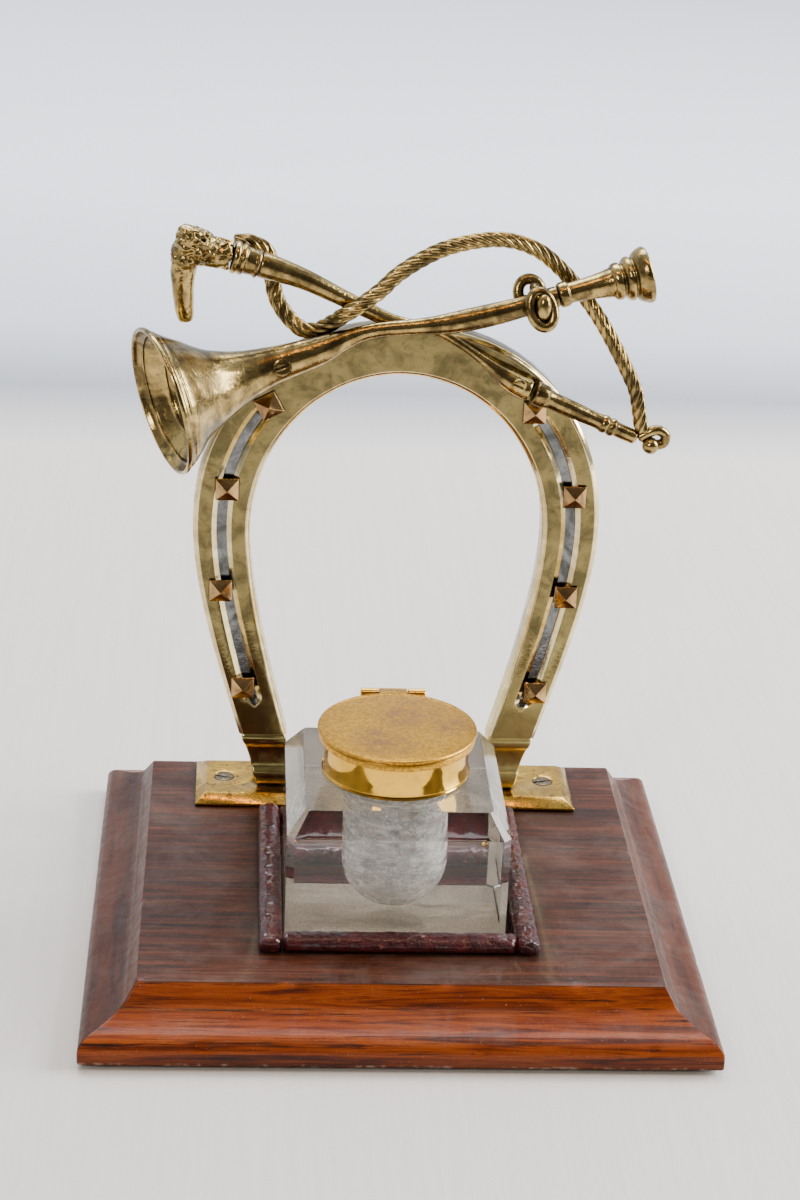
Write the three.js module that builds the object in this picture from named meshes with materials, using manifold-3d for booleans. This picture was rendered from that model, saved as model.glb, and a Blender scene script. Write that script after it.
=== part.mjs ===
// Equestrian desk inkstand: a moulded wood base, an upright brass horseshoe that carries a
// trophy of a hunting horn, a riding crop and its twisted lash, and in front of it a square
// cut-glass ink bottle with a hinged brass lid, standing in a leather surround.
// Millimetres, +Z up, the front faces -Y. The origin is the middle of the underside.
import * as THREE from "three";
import { mergeVertices } from "three/addons/utils/BufferGeometryUtils.js";
import Module from "manifold-3d";

const wasm = await Module();
wasm.setup();

// ---------------------------------------------------------------- driving dimensions

const GAP = 0.3; // left between pieces that touch

const BASE_WIDTH = 170;
const BASE_DEPTH = 158.4;
const DECK_Z = 18; // flat top of the base
const DECK_INSET = 14.8; // from the base's outline to the deck's edge
const FELT_THICKNESS = 0.9;
const FELT_INSET = 3;

// Leather surround, a frame of four rolled rails around the bottle's pocket.
const TRAY = { halfWidth: 38.1, front: -49.8, back: 29.6, railWidth: 6.4, railHeight: 4.2 };
const POCKET_FLOOR_Z = 14.2;
const PAD_THICKNESS = 0.8;

const BOTTLE = { x: -1, y: -13, halfSize: 30.1, bottom: 15.6, shoulder: 49.3, top: 55.6 };
const BOTTLE_CORNER = 2; // flat cut on each upright edge
const SHOULDER_INSET = 4.9;
const NECK = { radius: 17.2, throat: 13, top: 66.4 };
const WELL = { radius: 14.5, bottom: 19.8 };

const COLLAR = { inner: 17.6, outer: 20.2, bottom: 55.9, top: 67.2 };
const LID = { radius: 21.9, skirtOuter: 21.5, skirtInner: 20.8, bottom: 65.4, disc: 67.5, top: 68.6 };
const HINGE = { y: 11.3, z: 67, barrel: 1.6, pin: 0.6, halfWidth: 9.2, knuckle: 4 };

// Horseshoe, upright in the plane of its width.
const SHOE_FRONT = 42.5;
const SHOE_BACK = 50;
const SHOE_MIDDLE = (SHOE_FRONT + SHOE_BACK) / 2;
const SHOE_CHAMFER = 1.3;
const SHOE_OUTER = { halfWidth: 58.8, waist: 105, top: 165.8, toe: 44.2, power: 2.15 };
const SHOE_INNER = { halfWidth: 42.2, waist: 104, top: 151.2, toe: 30, power: 2 };
const SHOE_TOE_Z = 38; // where each branch meets its foot
const FULLER = { halfWidth: 2.85, depth: 1.4, start: 0.72, end: 0.84 };
const STUD = { halfSize: 3.3, rim: 0.6, height: 2.6 };
const STUDS = { // out from the middle, height, turn
  left: [
    [37.8, 141.6, 0.5],
    [49.1, 116.2, 0],
    [50.4, 84.8, 0],
    [43.4, 53.8, 0],
  ],
  right: [
    [37.8, 141.6, 0],
    [50.9, 116.2, 0],
    [50.4, 84.8, 0],
    [43.4, 53.8, 0],
  ],
};

// Each branch stands on a chamfered brass plate that is screwed to the deck.
const PLATE = { inner: 27, outer: 56.8, front: 34.4, back: 61.8, thickness: 3, chamfer: 3.2, edge: 0.8 };
const PLATE_TOP_Z = DECK_Z + GAP + PLATE.thickness;
const PLATE_SCREW = { x: 48.4, y: 48.2, head: 2.9, shank: 1.5, headDepth: 1.6, length: 13 };
const SHOE_BOLT = { x: 33.6, head: 4.2, shank: 2, headHeight: 3, top: 31 };

// Trophy: the crop lies against the shoe and falls to the right, the horn crosses in front of it.
const CROP_Y = 38.6;
const TROPHY_SCREW = { headHeight: 1.5, shank: 1.2, into: 5 };
const HORN_SCREW = { x: -34.7, z: 158, seat: 26.6, head: 2.4, fall: 0.31, slotTurn: -0.35 };
const CROP_SCREW = { x: 32, z: 151.6, seat: 36.2, head: 2, fall: 0, slotTurn: 0.4 };
const PILLAR = { radius: 2.8, bossEnd: 11, end: 15.4 }; // along the horn's screw from its seat

// ---------------------------------------------------------------- materials

const finish = (color, roughness, metalness) =>
  new THREE.MeshStandardMaterial({ color, roughness, metalness });
const brass = finish(0xa68a4a, 0.32, 1);
const lidBrass = finish(0xb8954f, 0.42, 1);
const steel = finish(0x6d6a66, 0.45, 1);
const rosewood = finish(0x5a2a16, 0.35, 0);
const leather = finish(0x4a1420, 0.5, 0);
const felt = finish(0x1d1a1a, 0.95, 0);
const crystal = new THREE.MeshStandardMaterial({
  color: 0xdfe6e2,
  roughness: 0.03,
  metalness: 0,
  transparent: true,
  opacity: 0.35,
});

// ---------------------------------------------------------------- solids

// A closed three.js geometry as a manifold-3d solid.
function solid(geometry) {
  const bare = geometry.clone();
  bare.deleteAttribute("normal");
  bare.deleteAttribute("uv");
  const merged = mergeVertices(bare, 1e-4);
  return new wasm.Manifold(
    new wasm.Mesh({
      numProp: 3,
      vertProperties: merged.attributes.position.array,
      triVerts: new Uint32Array(merged.index.array),
    }),
  );
}

function geometryOf(body) {
  const { vertProperties, triVerts } = body.getMesh();
  const geometry = new THREE.BufferGeometry()
    .setAttribute("position", new THREE.BufferAttribute(new Float32Array(vertProperties), 3))
    .setIndex(new THREE.BufferAttribute(new Uint32Array(triVerts), 1))
    .toNonIndexed();
  geometry.computeVertexNormals();
  return geometry;
}

const join = (...geometries) => geometries.map(solid).reduce((sum, body) => sum.add(body));
const cut = (body, ...geometries) => geometries.map(solid).reduce((rest, tool) => rest.subtract(tool), body);

function block(x0, x1, y0, y1, z0, z1) {
  const geometry = new THREE.BoxGeometry(x1 - x0, y1 - y0, z1 - z0);
  return geometry.translate((x0 + x1) / 2, (y0 + y1) / 2, (z0 + z1) / 2);
}

// A cylinder along Z, X or Y, given by its two ends on that axis.
function rodZ(radius, x, y, z0, z1, sides = 16) {
  const geometry = new THREE.CylinderGeometry(radius, radius, z1 - z0, sides).rotateX(Math.PI / 2);
  return geometry.translate(x, y, (z0 + z1) / 2);
}

function rodX(radius, x0, x1, y, z, sides = 16) {
  const geometry = new THREE.CylinderGeometry(radius, radius, x1 - x0, sides).rotateZ(Math.PI / 2);
  return geometry.translate((x0 + x1) / 2, y, z);
}

function rodY(radius, x, y0, y1, z, sides = 16) {
  return new THREE.CylinderGeometry(radius, radius, y1 - y0, sides).translate(x, (y0 + y1) / 2, z);
}

// A solid of revolution about the vertical line through (x, y), from a list of [radius, z].
function turned(profile, x, y, segments = 32) {
  const points = profile.map(([radius, z]) => new THREE.Vector2(radius, z));
  return new THREE.LatheGeometry(points, segments).rotateX(Math.PI / 2).translate(x, y, 0);
}

// Side walls between rings of equal length that run anticlockwise seen from +Z, with flat ends.
function loft(rings) {
  const positions = [];
  const face = (a, b, c) => positions.push(...a, ...b, ...c);
  const count = rings[0].length;
  for (let level = 0; level + 1 < rings.length; level++) {
    const [low, high] = [rings[level], rings[level + 1]];
    for (let i = 0; i < count; i++) {
      const j = (i + 1) % count;
      face(low[i], low[j], high[j]);
      face(low[i], high[j], high[i]);
    }
  }
  const [first, last] = [rings[0], rings.at(-1)];
  for (let i = 1; i + 1 < count; i++) {
    face(first[0], first[i + 1], first[i]);
    face(last[0], last[i], last[i + 1]);
  }
  return new THREE.BufferGeometry().setAttribute(
    "position",
    new THREE.BufferAttribute(new Float32Array(positions), 3),
  );
}

// Rectangle about (x, y) at height z, with its corners cut by `corner` where that is given.
function rectangle(x, y, halfX, halfY, z, corner = 0) {
  const signs = [[-1, -1], [1, -1], [1, 1], [-1, 1]];
  if (!corner) return signs.map(([sx, sy]) => [x + sx * halfX, y + sy * halfY, z]);
  return signs.flatMap(([sx, sy]) => {
    const along = [x + sx * (halfX - corner), y + sy * halfY, z];
    const side = [x + sx * halfX, y + sy * (halfY - corner), z];
    return sx === sy ? [side, along] : [along, side];
  });
}

// A solid of revolution whose axis follows a curve. The profile is a list of
// [distance along the curve, radius] that starts and ends on the axis.
function turnedAlong(curve, profile, sides) {
  const length = curve.getLength();
  const steps = 400;
  const frames = curve.computeFrenetFrames(steps, false);
  const ringAt = ([distance, radius]) => {
    const share = THREE.MathUtils.clamp(distance / length, 0, 1);
    const step = Math.round(share * steps);
    const centre = curve.getPointAt(share)
      .addScaledVector(frames.tangents[step], distance - share * length);
    return Array.from({ length: sides }, (_, i) => {
      const angle = (2 * Math.PI * i) / sides;
      return centre.clone()
        .addScaledVector(frames.normals[step], radius * Math.cos(angle))
        .addScaledVector(frames.binormals[step], radius * Math.sin(angle))
        .toArray();
    });
  };
  return loft(profile.map(ringAt));
}

const curveThrough = (points) =>
  new THREE.CatmullRomCurve3(points.map((p) => new THREE.Vector3(...p)), false, "centripetal");

// A round bar along a curve, with a radius at each end, and slightly rounded ends.
function barAlong(curve, [startRadius, endRadius], steps, sides = 8) {
  const length = curve.getLength();
  const inset = startRadius * 0.4;
  const profile = [[0, startRadius * 0.5]];
  for (let i = 0; i <= steps; i++) {
    const radius = THREE.MathUtils.lerp(startRadius, endRadius, i / steps);
    profile.push([inset + ((length - 2 * inset) * i) / steps, radius]);
  }
  profile.push([length, endRadius * 0.5]);
  return turnedAlong(curve, profile, sides);
}

const inkstand = new THREE.Group();

function add(parent, name, body, material) {
  const geometry = body.isBufferGeometry ? body : geometryOf(body);
  geometry.computeVertexNormals();
  const mesh = new THREE.Mesh(geometry, material);
  mesh.name = name;
  parent.add(mesh);
}

const SIDES = [["left", -1], ["right", 1]];

// ---------------------------------------------------------------- base

function buildBase() {
  const base = new THREE.Group();
  const edge = new THREE.Path()
    .moveTo(0.4, FELT_THICKNESS + GAP)
    .lineTo(0, FELT_THICKNESS + GAP + 0.5)
    .lineTo(0, 4.6);
  edge.quadraticCurveTo(0.4, 7.6, 3, 8.7); // rounded lip
  edge.quadraticCurveTo(8.4, 10.2, 11.5, 12.7); // cove
  edge.lineTo(DECK_INSET, DECK_Z); // steep bevel up to the deck
  const rings = edge.getPoints(4).map(({ x: inset, y: z }) =>
    rectangle(0, 0, BASE_WIDTH / 2 - inset, BASE_DEPTH / 2 - inset, z),
  );
  const inner = TRAY.halfWidth - TRAY.railWidth;
  const pocket = block(
    -inner, inner, TRAY.front + TRAY.railWidth, TRAY.back - TRAY.railWidth, POCKET_FLOOR_Z, DECK_Z + 1,
  );
  const holes = SIDES.flatMap(([, side]) => [
    rodZ(PLATE_SCREW.shank + GAP, side * PLATE_SCREW.x, PLATE_SCREW.y, 6, DECK_Z + 1, 12),
    rodZ(SHOE_BOLT.shank + GAP, side * SHOE_BOLT.x, SHOE_MIDDLE, 0, DECK_Z + 1, 12),
    rodZ(SHOE_BOLT.head + GAP, side * SHOE_BOLT.x, SHOE_MIDDLE, 0, 5, 16),
  ]);
  add(base, "wood_base", cut(solid(loft(rings)), pocket, ...holes), rosewood);

  const halfX = BASE_WIDTH / 2 - FELT_INSET;
  const halfY = BASE_DEPTH / 2 - FELT_INSET;
  add(base, "base_felt", block(-halfX, halfX, -halfY, halfY, 0, FELT_THICKNESS), felt);
  return base;
}

// ---------------------------------------------------------------- leather surround

function railSection() {
  const { railWidth: width, railHeight: height } = TRAY;
  return new THREE.Shape()
    .moveTo(0, 0)
    .lineTo(width, 0)
    .lineTo(width, height * 0.45)
    .quadraticCurveTo(width, height, width / 2, height)
    .quadraticCurveTo(0, height, 0, height * 0.45);
}

function buildSurround() {
  const surround = new THREE.Group();
  const { halfWidth, front, back, railWidth } = TRAY;
  const z = DECK_Z + GAP;
  const rail = (length) =>
    new THREE.ExtrudeGeometry(railSection(), { depth: length, bevelEnabled: false, curveSegments: 4 })
      .rotateX(Math.PI / 2)
      .translate(0, length, 0);
  for (const [name, side] of SIDES) {
    const x = side < 0 ? -halfWidth : halfWidth - railWidth;
    add(surround, `leather_rail_${name}`, rail(back - front).translate(x, front, z), leather);
  }
  const across = 2 * (halfWidth - railWidth - GAP);
  for (const [name, y] of [["front", front], ["back", back - railWidth]]) {
    const geometry = rail(across).rotateZ(-Math.PI / 2).translate(-across / 2, y + railWidth, z);
    add(surround, `leather_rail_${name}`, geometry, leather);
  }
  const inner = halfWidth - railWidth - GAP;
  const padBottom = POCKET_FLOOR_Z + GAP;
  const pad = block(
    -inner, inner, front + railWidth + GAP, back - railWidth - GAP, padBottom, padBottom + PAD_THICKNESS,
  );
  add(surround, "tray_pad", pad, leather);
  return surround;
}

// ---------------------------------------------------------------- horseshoe and its feet

// The shoe's right-hand edges: superellipse quarters above the waist and Bezier legs below it.
function shoeEdges({ halfWidth, waist, top, toe, power }) {
  const arch = (share) => new THREE.Vector2(
    halfWidth * Math.cos((share * Math.PI) / 2) ** (2 / power),
    waist + (top - waist) * Math.sin((share * Math.PI) / 2) ** (2 / power),
  );
  const fall = waist - SHOE_TOE_Z;
  const leg = new THREE.CubicBezierCurve(
    new THREE.Vector2(halfWidth, waist),
    new THREE.Vector2(halfWidth, waist - 0.3 * fall),
    new THREE.Vector2(toe + 0.36 * (halfWidth - toe) + 0.5, SHOE_TOE_Z + 0.29 * fall),
    new THREE.Vector2(toe, SHOE_TOE_Z),
  );
  return { arch, leg: (share) => leg.getPoint(share) };
}

// Points at `count` + 1 equal steps of a curve's parameter.
const sampled = (curve, count) => Array.from({ length: count + 1 }, (_, i) => curve(i / count));

function shoeOutline() {
  const rightHalf = (edge) => {
    const { arch, leg } = shoeEdges(edge);
    return [...sampled(leg, 12).reverse(), ...sampled(arch, 16).slice(1)];
  };
  const mirrored = (points) => points.slice(0, -1).reverse().map(({ x, y }) => new THREE.Vector2(-x, y));
  const outer = rightHalf(SHOE_OUTER);
  const inner = rightHalf(SHOE_INNER);
  const right = [...outer, ...mirrored(outer)];
  const left = [...inner, ...mirrored(inner)].reverse();
  return new THREE.Shape([...right, ...left]);
}

// The floor of the fuller groove on one branch, along the middle of the web.
function fullerOutline(side) {
  const outer = shoeEdges(SHOE_OUTER);
  const inner = shoeEdges(SHOE_INNER);
  const middle = (part, share) =>
    outer[part](share).add(inner[part](share)).multiplyScalar(0.5);
  const line = [];
  const archStart = FULLER.start / (Math.PI / 2);
  for (let i = 0; i <= 8; i++) line.push(middle("arch", archStart * (1 - i / 8)));
  for (let i = 1; i <= 12; i++) line.push(middle("leg", (FULLER.end * i) / 12));
  const reach = FULLER.halfWidth - FULLER.depth;
  const offset = (way) => line.map((point, i) => {
    const before = line[Math.max(i - 1, 0)];
    const after = line[Math.min(i + 1, line.length - 1)];
    const along = after.clone().sub(before).normalize();
    return new THREE.Vector2(side * (point.x - way * along.y * reach), point.y + way * along.x * reach);
  });
  return new THREE.Shape([...offset(-1), ...offset(1).reverse()]);
}

// Extrudes a shape drawn in (x, z) from y0 back to y1, with chamfered ends.
function upright(shape, y0, y1, chamfer, bevelOffset) {
  const options = {
    depth: y1 - y0 - 2 * chamfer,
    bevelThickness: chamfer,
    bevelSize: chamfer,
    bevelOffset,
    bevelSegments: 1,
  };
  return new THREE.ExtrudeGeometry(shape, options).rotateX(Math.PI / 2).translate(0, y1 - chamfer, 0);
}

// Moulded foot under the right branch: [z, centre x, half width, half depth].
const FOOT_SECTIONS = [
  [PLATE_TOP_Z + GAP, 33.3, 5.2, 3.8],
  [23.6, 33.9, 5.5, 4.5],
  [26.4, 34.4, 5.6, 4.3],
  [28, 34.8, 5.6, 3.4],
  [32.5, 35.8, 5.8, 3.2],
  [35.6, 36.5, 6.3, 4],
  [37, 36.8, 6.6, 4.3],
  [38.6, 37.1, 6.4, 3.5],
];

function buildShoe() {
  const shoe = new THREE.Group();
  let body = solid(upright(shoeOutline(), SHOE_FRONT, SHOE_BACK, SHOE_CHAMFER, -SHOE_CHAMFER));
  for (const [, side] of SIDES) {
    const rings = FOOT_SECTIONS.map(([z, x, halfX, halfY]) =>
      rectangle(side * x, SHOE_MIDDLE, halfX, halfY, z),
    );
    const groove = upright(
      fullerOutline(side), SHOE_FRONT - 3 * FULLER.depth, SHOE_FRONT + FULLER.depth, FULLER.depth, 0,
    );
    const boltHole = rodZ(SHOE_BOLT.shank + GAP, side * SHOE_BOLT.x, SHOE_MIDDLE, 20, SHOE_BOLT.top + GAP, 12);
    body = cut(body.add(solid(loft(rings))), groove, boltHole);
  }
  const screwHoles = [HORN_SCREW, CROP_SCREW].map((screw) =>
    alongScrew(screw, TROPHY_SCREW.shank + GAP, 5, screwLength(screw) + GAP, 12),
  );
  add(shoe, "horseshoe", cut(body, ...screwHoles), brass);

  const diagonal = STUD.halfSize * Math.SQRT2;
  const studProfile = [[0, 0], [diagonal, 0], [diagonal, STUD.rim], [0, STUD.height]];
  for (const [name, side] of SIDES) {
    STUDS[name].forEach(([x, z, turn], i) => {
      const pyramid = turned(studProfile, 0, 0, 4)
        .rotateZ(Math.PI / 4 + turn)
        .rotateX(Math.PI / 2)
        .translate(side * x, SHOE_FRONT - GAP, z);
      add(shoe, `nail_stud_${name}_${i + 1}`, solid(pyramid), brass);
    });
  }
  return shoe;
}

function buildFeet() {
  const feet = new THREE.Group();
  const bottom = DECK_Z + GAP;
  const middleX = (PLATE.inner + PLATE.outer) / 2;
  const middleY = (PLATE.front + PLATE.back) / 2;
  const halfX = (PLATE.outer - PLATE.inner) / 2;
  const halfY = (PLATE.back - PLATE.front) / 2;
  for (const [name, side] of SIDES) {
    const plate = loft([
      rectangle(side * middleX, middleY, halfX, halfY, bottom),
      rectangle(side * middleX, middleY, halfX, halfY, bottom + PLATE.edge),
      rectangle(side * middleX, middleY, halfX - PLATE.chamfer, halfY - PLATE.chamfer, PLATE_TOP_Z),
    ]);
    const { x, y, head, shank, headDepth, length } = PLATE_SCREW;
    const sink = turned(
      [
        [0, bottom - 1],
        [shank + GAP, bottom - 1],
        [shank + GAP, PLATE_TOP_Z - headDepth],
        [head + GAP, PLATE_TOP_Z],
        [head + GAP, PLATE_TOP_Z + 1],
        [0, PLATE_TOP_Z + 1],
      ],
      side * x, y, 20,
    );
    const boltHole = rodZ(SHOE_BOLT.shank + GAP, side * SHOE_BOLT.x, SHOE_MIDDLE, bottom - 1, PLATE_TOP_Z + 1, 12);
    add(feet, `foot_plate_${name}`, cut(solid(plate), sink, boltHole), brass);

    const top = PLATE_TOP_Z - 0.1;
    const screw = turned(
      [[0, top - length], [shank, top - length + 1], [shank, top - headDepth], [head, top], [0, top]],
      side * x, y, 20,
    );
    const slot = block(-head, head, -0.35, 0.35, top - 0.7, top + 1).rotateZ(0.3 * side).translate(side * x, y, 0);
    add(feet, `plate_screw_${name}`, cut(solid(screw), slot), steel);

    const headBottom = FELT_THICKNESS + GAP + 0.6;
    const shankBottom = headBottom + SHOE_BOLT.headHeight;
    const bolt = join(
      rodZ(SHOE_BOLT.head, side * SHOE_BOLT.x, SHOE_MIDDLE, headBottom, shankBottom, 6),
      rodZ(SHOE_BOLT.shank, side * SHOE_BOLT.x, SHOE_MIDDLE, shankBottom - 1, SHOE_BOLT.top, 12),
    );
    add(feet, `shoe_bolt_${name}`, bolt, steel);
  }
  return feet;
}

// ---------------------------------------------------------------- trophy

// A rod on a trophy screw's axis, between two distances behind the seat of its head.
function alongScrew({ x, z, seat, fall }, radius, from, to, sides) {
  return rodY(radius, 0, from, to, 0, sides).rotateX(-fall).translate(x, seat, z);
}

const screwLength = ({ seat, fall }) => (SHOE_FRONT - seat) / Math.cos(fall) + TROPHY_SCREW.into;

// A slotted cheese-head screw that reaches back into the shoe.
function trophyScrew(screw) {
  const { headHeight, shank } = TROPHY_SCREW;
  const { x, z, seat, head, fall, slotTurn } = screw;
  const slot = block(-head - 1, head + 1, -headHeight - 1, 0.7 - headHeight, -0.35, 0.35)
    .rotateY(slotTurn)
    .rotateX(-fall)
    .translate(x, seat, z);
  const body = join(
    alongScrew(screw, head, -headHeight, 0, 20),
    alongScrew(screw, shank, -1, screwLength(screw), 12),
  );
  return cut(body, slot);
}

// The cuts that let such a screw through a piece: a seat for its head and a hole for its shank.
function screwWay(screw) {
  return [
    alongScrew(screw, screw.head + GAP, -8, GAP, 20),
    alongScrew(screw, TROPHY_SCREW.shank + GAP, -1, 20, 12),
  ];
}

const HORN_LINE = [ // bell mouth to mouthpiece
  [-67.6, 20.9, 149.3],
  [-65.8, 21.6, 149.7],
  [-61.3, 23.5, 150.7],
  [-54, 26.4, 152.1],
  [-44.2, 29.5, 154.9],
  [-37.9, 31, 156.9],
  [-29.7, 32.6, 159.3],
  [-24.2, 33.4, 161.1],
  [-18.7, 34.1, 163.6],
  [-13.2, 34.6, 165.8],
  [-7.7, 35, 167],
  [2, 35.6, 167.9],
  [10.3, 36.2, 168.8],
  [20, 36.8, 170.8],
  [29.7, 37.5, 173.3],
  [44.3, 38.8, 177.8],
  [65.7, 41.3, 183],
];
const BELL_PROFILE = [ // inside of the bell, its rolled lip, then the outside and the tube
  [28, 2.8],
  [21.3, 7.1],
  [15.8, 9.5],
  [10.6, 12.3],
  [5.8, 15.9],
  [2.5, 18.5],
  [0.4, 19.7],
  [-0.4, 20.3],
  [0.1, 20.9],
  [1, 20.7],
  [1.5, 20],
  [3.4, 18.8],
  [5.8, 16.9],
  [10.6, 13.3],
  [15.8, 10.5],
  [21.3, 8.2],
  [27, 6.5],
  [34.2, 5.2],
  [42.8, 4.4],
  [48.6, 3.8],
  [54.9, 2.75],
  [60.7, 2.15],
  [69, 2.1],
  [76.2, 2.3],
  [84.6, 2.95],
  [92, 3.2],
  [104.5, 3],
  [114.9, 3],
];
const MOUTHPIECE_PROFILE = [ // collar, flaring tube with three turned rings, cupped end
  [115.3, 3.1],
  [115.8, 3.5],
  [117.8, 3.5],
  [118.4, 3.1],
  [125.6, 3.4],
  [130.6, 4.2],
  [131.6, 5],
  [133.2, 5.2],
  [133.8, 4.8],
  [134.6, 5.9],
  [136.2, 6.2],
  [136.8, 5.8],
  [138, 6.9],
  [140.4, 7.9],
  [141.4, 7.7],
  [141, 6.4],
  [138.6, 2.4],
];

// A rope loop of the cast knot: an oval ring that faces the front, leaning by `lean`.
function knotLoop({ centre, radius, stretch, lean }) {
  return new THREE.TorusGeometry(radius, KNOT.bar, 8, 24)
    .scale(1, stretch, 1)
    .rotateZ(lean)
    .rotateX(Math.PI / 2 - 0.35)
    .translate(...centre);
}

const KNOT = {
  distance: 109.6, // of the band round the tube, from the bell's mouth
  band: 4.3,
  bar: 1.4,
  backLoop: { centre: [33.9, 41.2, 177.2], radius: 3.3, stretch: 1.1, lean: 0.2 },
  frontLoop: { centre: [36.8, 33.4, 174.5], radius: 3.2, stretch: 1.55, lean: 0.3 },
  pearl: [37.2, 33, 175.2],
};

function buildHorn() {
  const horn = new THREE.Group();
  const line = curveThrough(HORN_LINE);
  const boss = alongScrew(HORN_SCREW, PILLAR.radius, 5.6, PILLAR.bossEnd, 16);
  const bell = cut(join(turnedAlong(line, BELL_PROFILE, 28), boss), ...screwWay(HORN_SCREW));
  add(horn, "horn_bell", bell, brass);
  add(horn, "horn_mouthpiece", solid(turnedAlong(line, MOUTHPIECE_PROFILE, 20)), brass);

  const share = KNOT.distance / line.getLength();
  const acrossTube = new THREE.Quaternion().setFromUnitVectors(
    new THREE.Vector3(0, 0, 1),
    line.getTangentAt(share),
  );
  const band = new THREE.TorusGeometry(KNOT.band, KNOT.bar, 8, 24)
    .applyQuaternion(acrossTube)
    .translate(...line.getPointAt(share));
  const pearl = new THREE.SphereGeometry(2.1, 12, 8)
    .scale(1, 1, 1.6)
    .rotateY(0.3)
    .translate(...KNOT.pearl);
  const passage = turnedAlong(line, [[KNOT.distance - 12, 3.3], [KNOT.distance + 5, 3.3]], 16);
  const knot = join(band, knotLoop(KNOT.backLoop), knotLoop(KNOT.frontLoop), pearl);
  add(horn, "horn_knot", cut(knot, passage), brass);
  add(horn, "horn_screw", trophyScrew(HORN_SCREW), brass);

  const spacer = alongScrew(HORN_SCREW, PILLAR.radius, PILLAR.bossEnd + GAP, PILLAR.end, 16);
  const bore = alongScrew(HORN_SCREW, TROPHY_SCREW.shank + GAP, 5, 20, 12);
  add(horn, "horn_spacer", cut(solid(spacer), bore), brass);
  return horn;
}

const HOOK_LINE = [ // point of the hooked handle up to its knob
  [-61.1, CROP_Y, 166.9],
  [-61.5, CROP_Y, 171.5],
  [-61.8, CROP_Y, 178.6],
  [-61.5, CROP_Y, 183.8],
  [-60.4, CROP_Y, 188.6],
];
const HOOK_PROFILE = [[0, 0.6], [0.6, 1.4], [2.6, 2], [6, 2.55], [11.6, 3], [17, 3.6], [21.6, 4.4]];
const KNOB = { centre: [-60.2, CROP_Y, 189.3], radius: 5 };
const CROP_LINE = [ // knob, collar, stock, then under the horn and down to the screw's boss
  [-60.2, CROP_Y, 188.7],
  [-54.5, CROP_Y, 186.9],
  [-49.8, CROP_Y, 186],
  [-41.2, 38.8, 183.7],
  [-30.2, 38.9, 180.2],
  [-18.9, 39.4, 174.9],
  [-9.8, 40, 170.4],
  [-4, 40.1, 168],
  [1.2, 40.2, 167],
  [5.5, 40.2, 166.4],
  [9.5, 40.1, 165.2],
  [12.8, 40, 163.4],
  [18.1, 39.9, 160.1],
  [23.9, 39.5, 156],
  [28.3, 39, 152.8],
  [32.4, 38.8, 150.4],
  [36, 38.7, 148.9],
];
const NECK_PROFILE = [[0, 4.7], [3.4, 5], [6.2, 4.3], [9, 3.8], [11.4, 4]];
const COLLAR_PROFILE = [
  [11.8, 4.1],
  [12.3, 4.5],
  [13.3, 4.5],
  [13.7, 4.1],
  [14.1, 4.4],
  [15, 4.4],
  [15.5, 3.9],
  [18.4, 3.8],
  [18.7, 4.1],
  [19.2, 4.1],
  [19.5, 3.7],
];
const STOCK_PROFILE = [
  [19.8, 3.6],
  [31.6, 2.95],
  [44, 2.4],
  [54.2, 2.2],
  [60.4, 2.05],
  [66, 1.6],
  [70.3, 1.3],
  [78.5, 1.15],
  [84.7, 1.1],
  [91.8, 1.75],
  [97.3, 2.75],
  [102, 3.1],
  [104.6, 3.1],
];
const TIP_LINE = [[35.4, CROP_Y, 149.3], [66.5, CROP_Y, 136]];
const TIP_PROFILE = [
  [1.4, 3],
  [2, 3.4],
  [5, 3.4],
  [6, 2.7],
  [22.9, 2.3],
  [23.4, 2.8],
  [24.5, 2.8],
  [25.1, 2.2],
  [25.7, 2.8],
  [26.8, 2.8],
  [27.3, 2.1],
  [33.9, 1.8],
];
const KEEPER_LINE = [
  [67.3, CROP_Y, 135.7],
  [69.8, CROP_Y, 137.3],
  [72.6, CROP_Y, 138.4],
  [75, CROP_Y, 137],
  [74.6, CROP_Y, 134.6],
  [72, CROP_Y, 133.9],
];
const KEEPER_BALL = [70.9, CROP_Y - 0.6, 134];

const tipBar = (grow = 0) =>
  turnedAlong(curveThrough(TIP_LINE), TIP_PROFILE.map(([distance, radius]) => [distance, radius + grow]), 16);
const keeperBar = (grow = 0) => barAlong(curveThrough(KEEPER_LINE), [1.2 + grow, 1.2 + grow], 14);

function buildCrop() {
  const crop = new THREE.Group();
  const line = curveThrough(CROP_LINE);
  const knob = new THREE.SphereGeometry(KNOB.radius, 16, 12).translate(...KNOB.centre);
  const hook = turnedAlong(curveThrough(HOOK_LINE), HOOK_PROFILE, 16);
  add(crop, "crop_handle", join(hook, knob, turnedAlong(line, NECK_PROFILE, 16)), brass);
  add(crop, "crop_collar", solid(turnedAlong(line, COLLAR_PROFILE, 20)), brass);
  const stock = solid(turnedAlong(line, STOCK_PROFILE, 16));
  add(crop, "crop_stock", cut(stock, ...screwWay(CROP_SCREW)), brass);
  add(crop, "crop_tip", solid(tipBar()), brass);
  const ball = new THREE.SphereGeometry(2.3, 12, 8).translate(...KEEPER_BALL);
  add(crop, "crop_keeper", join(keeperBar(), ball), brass);
  add(crop, "crop_screw", trophyScrew(CROP_SCREW), brass);
  return crop;
}

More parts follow.
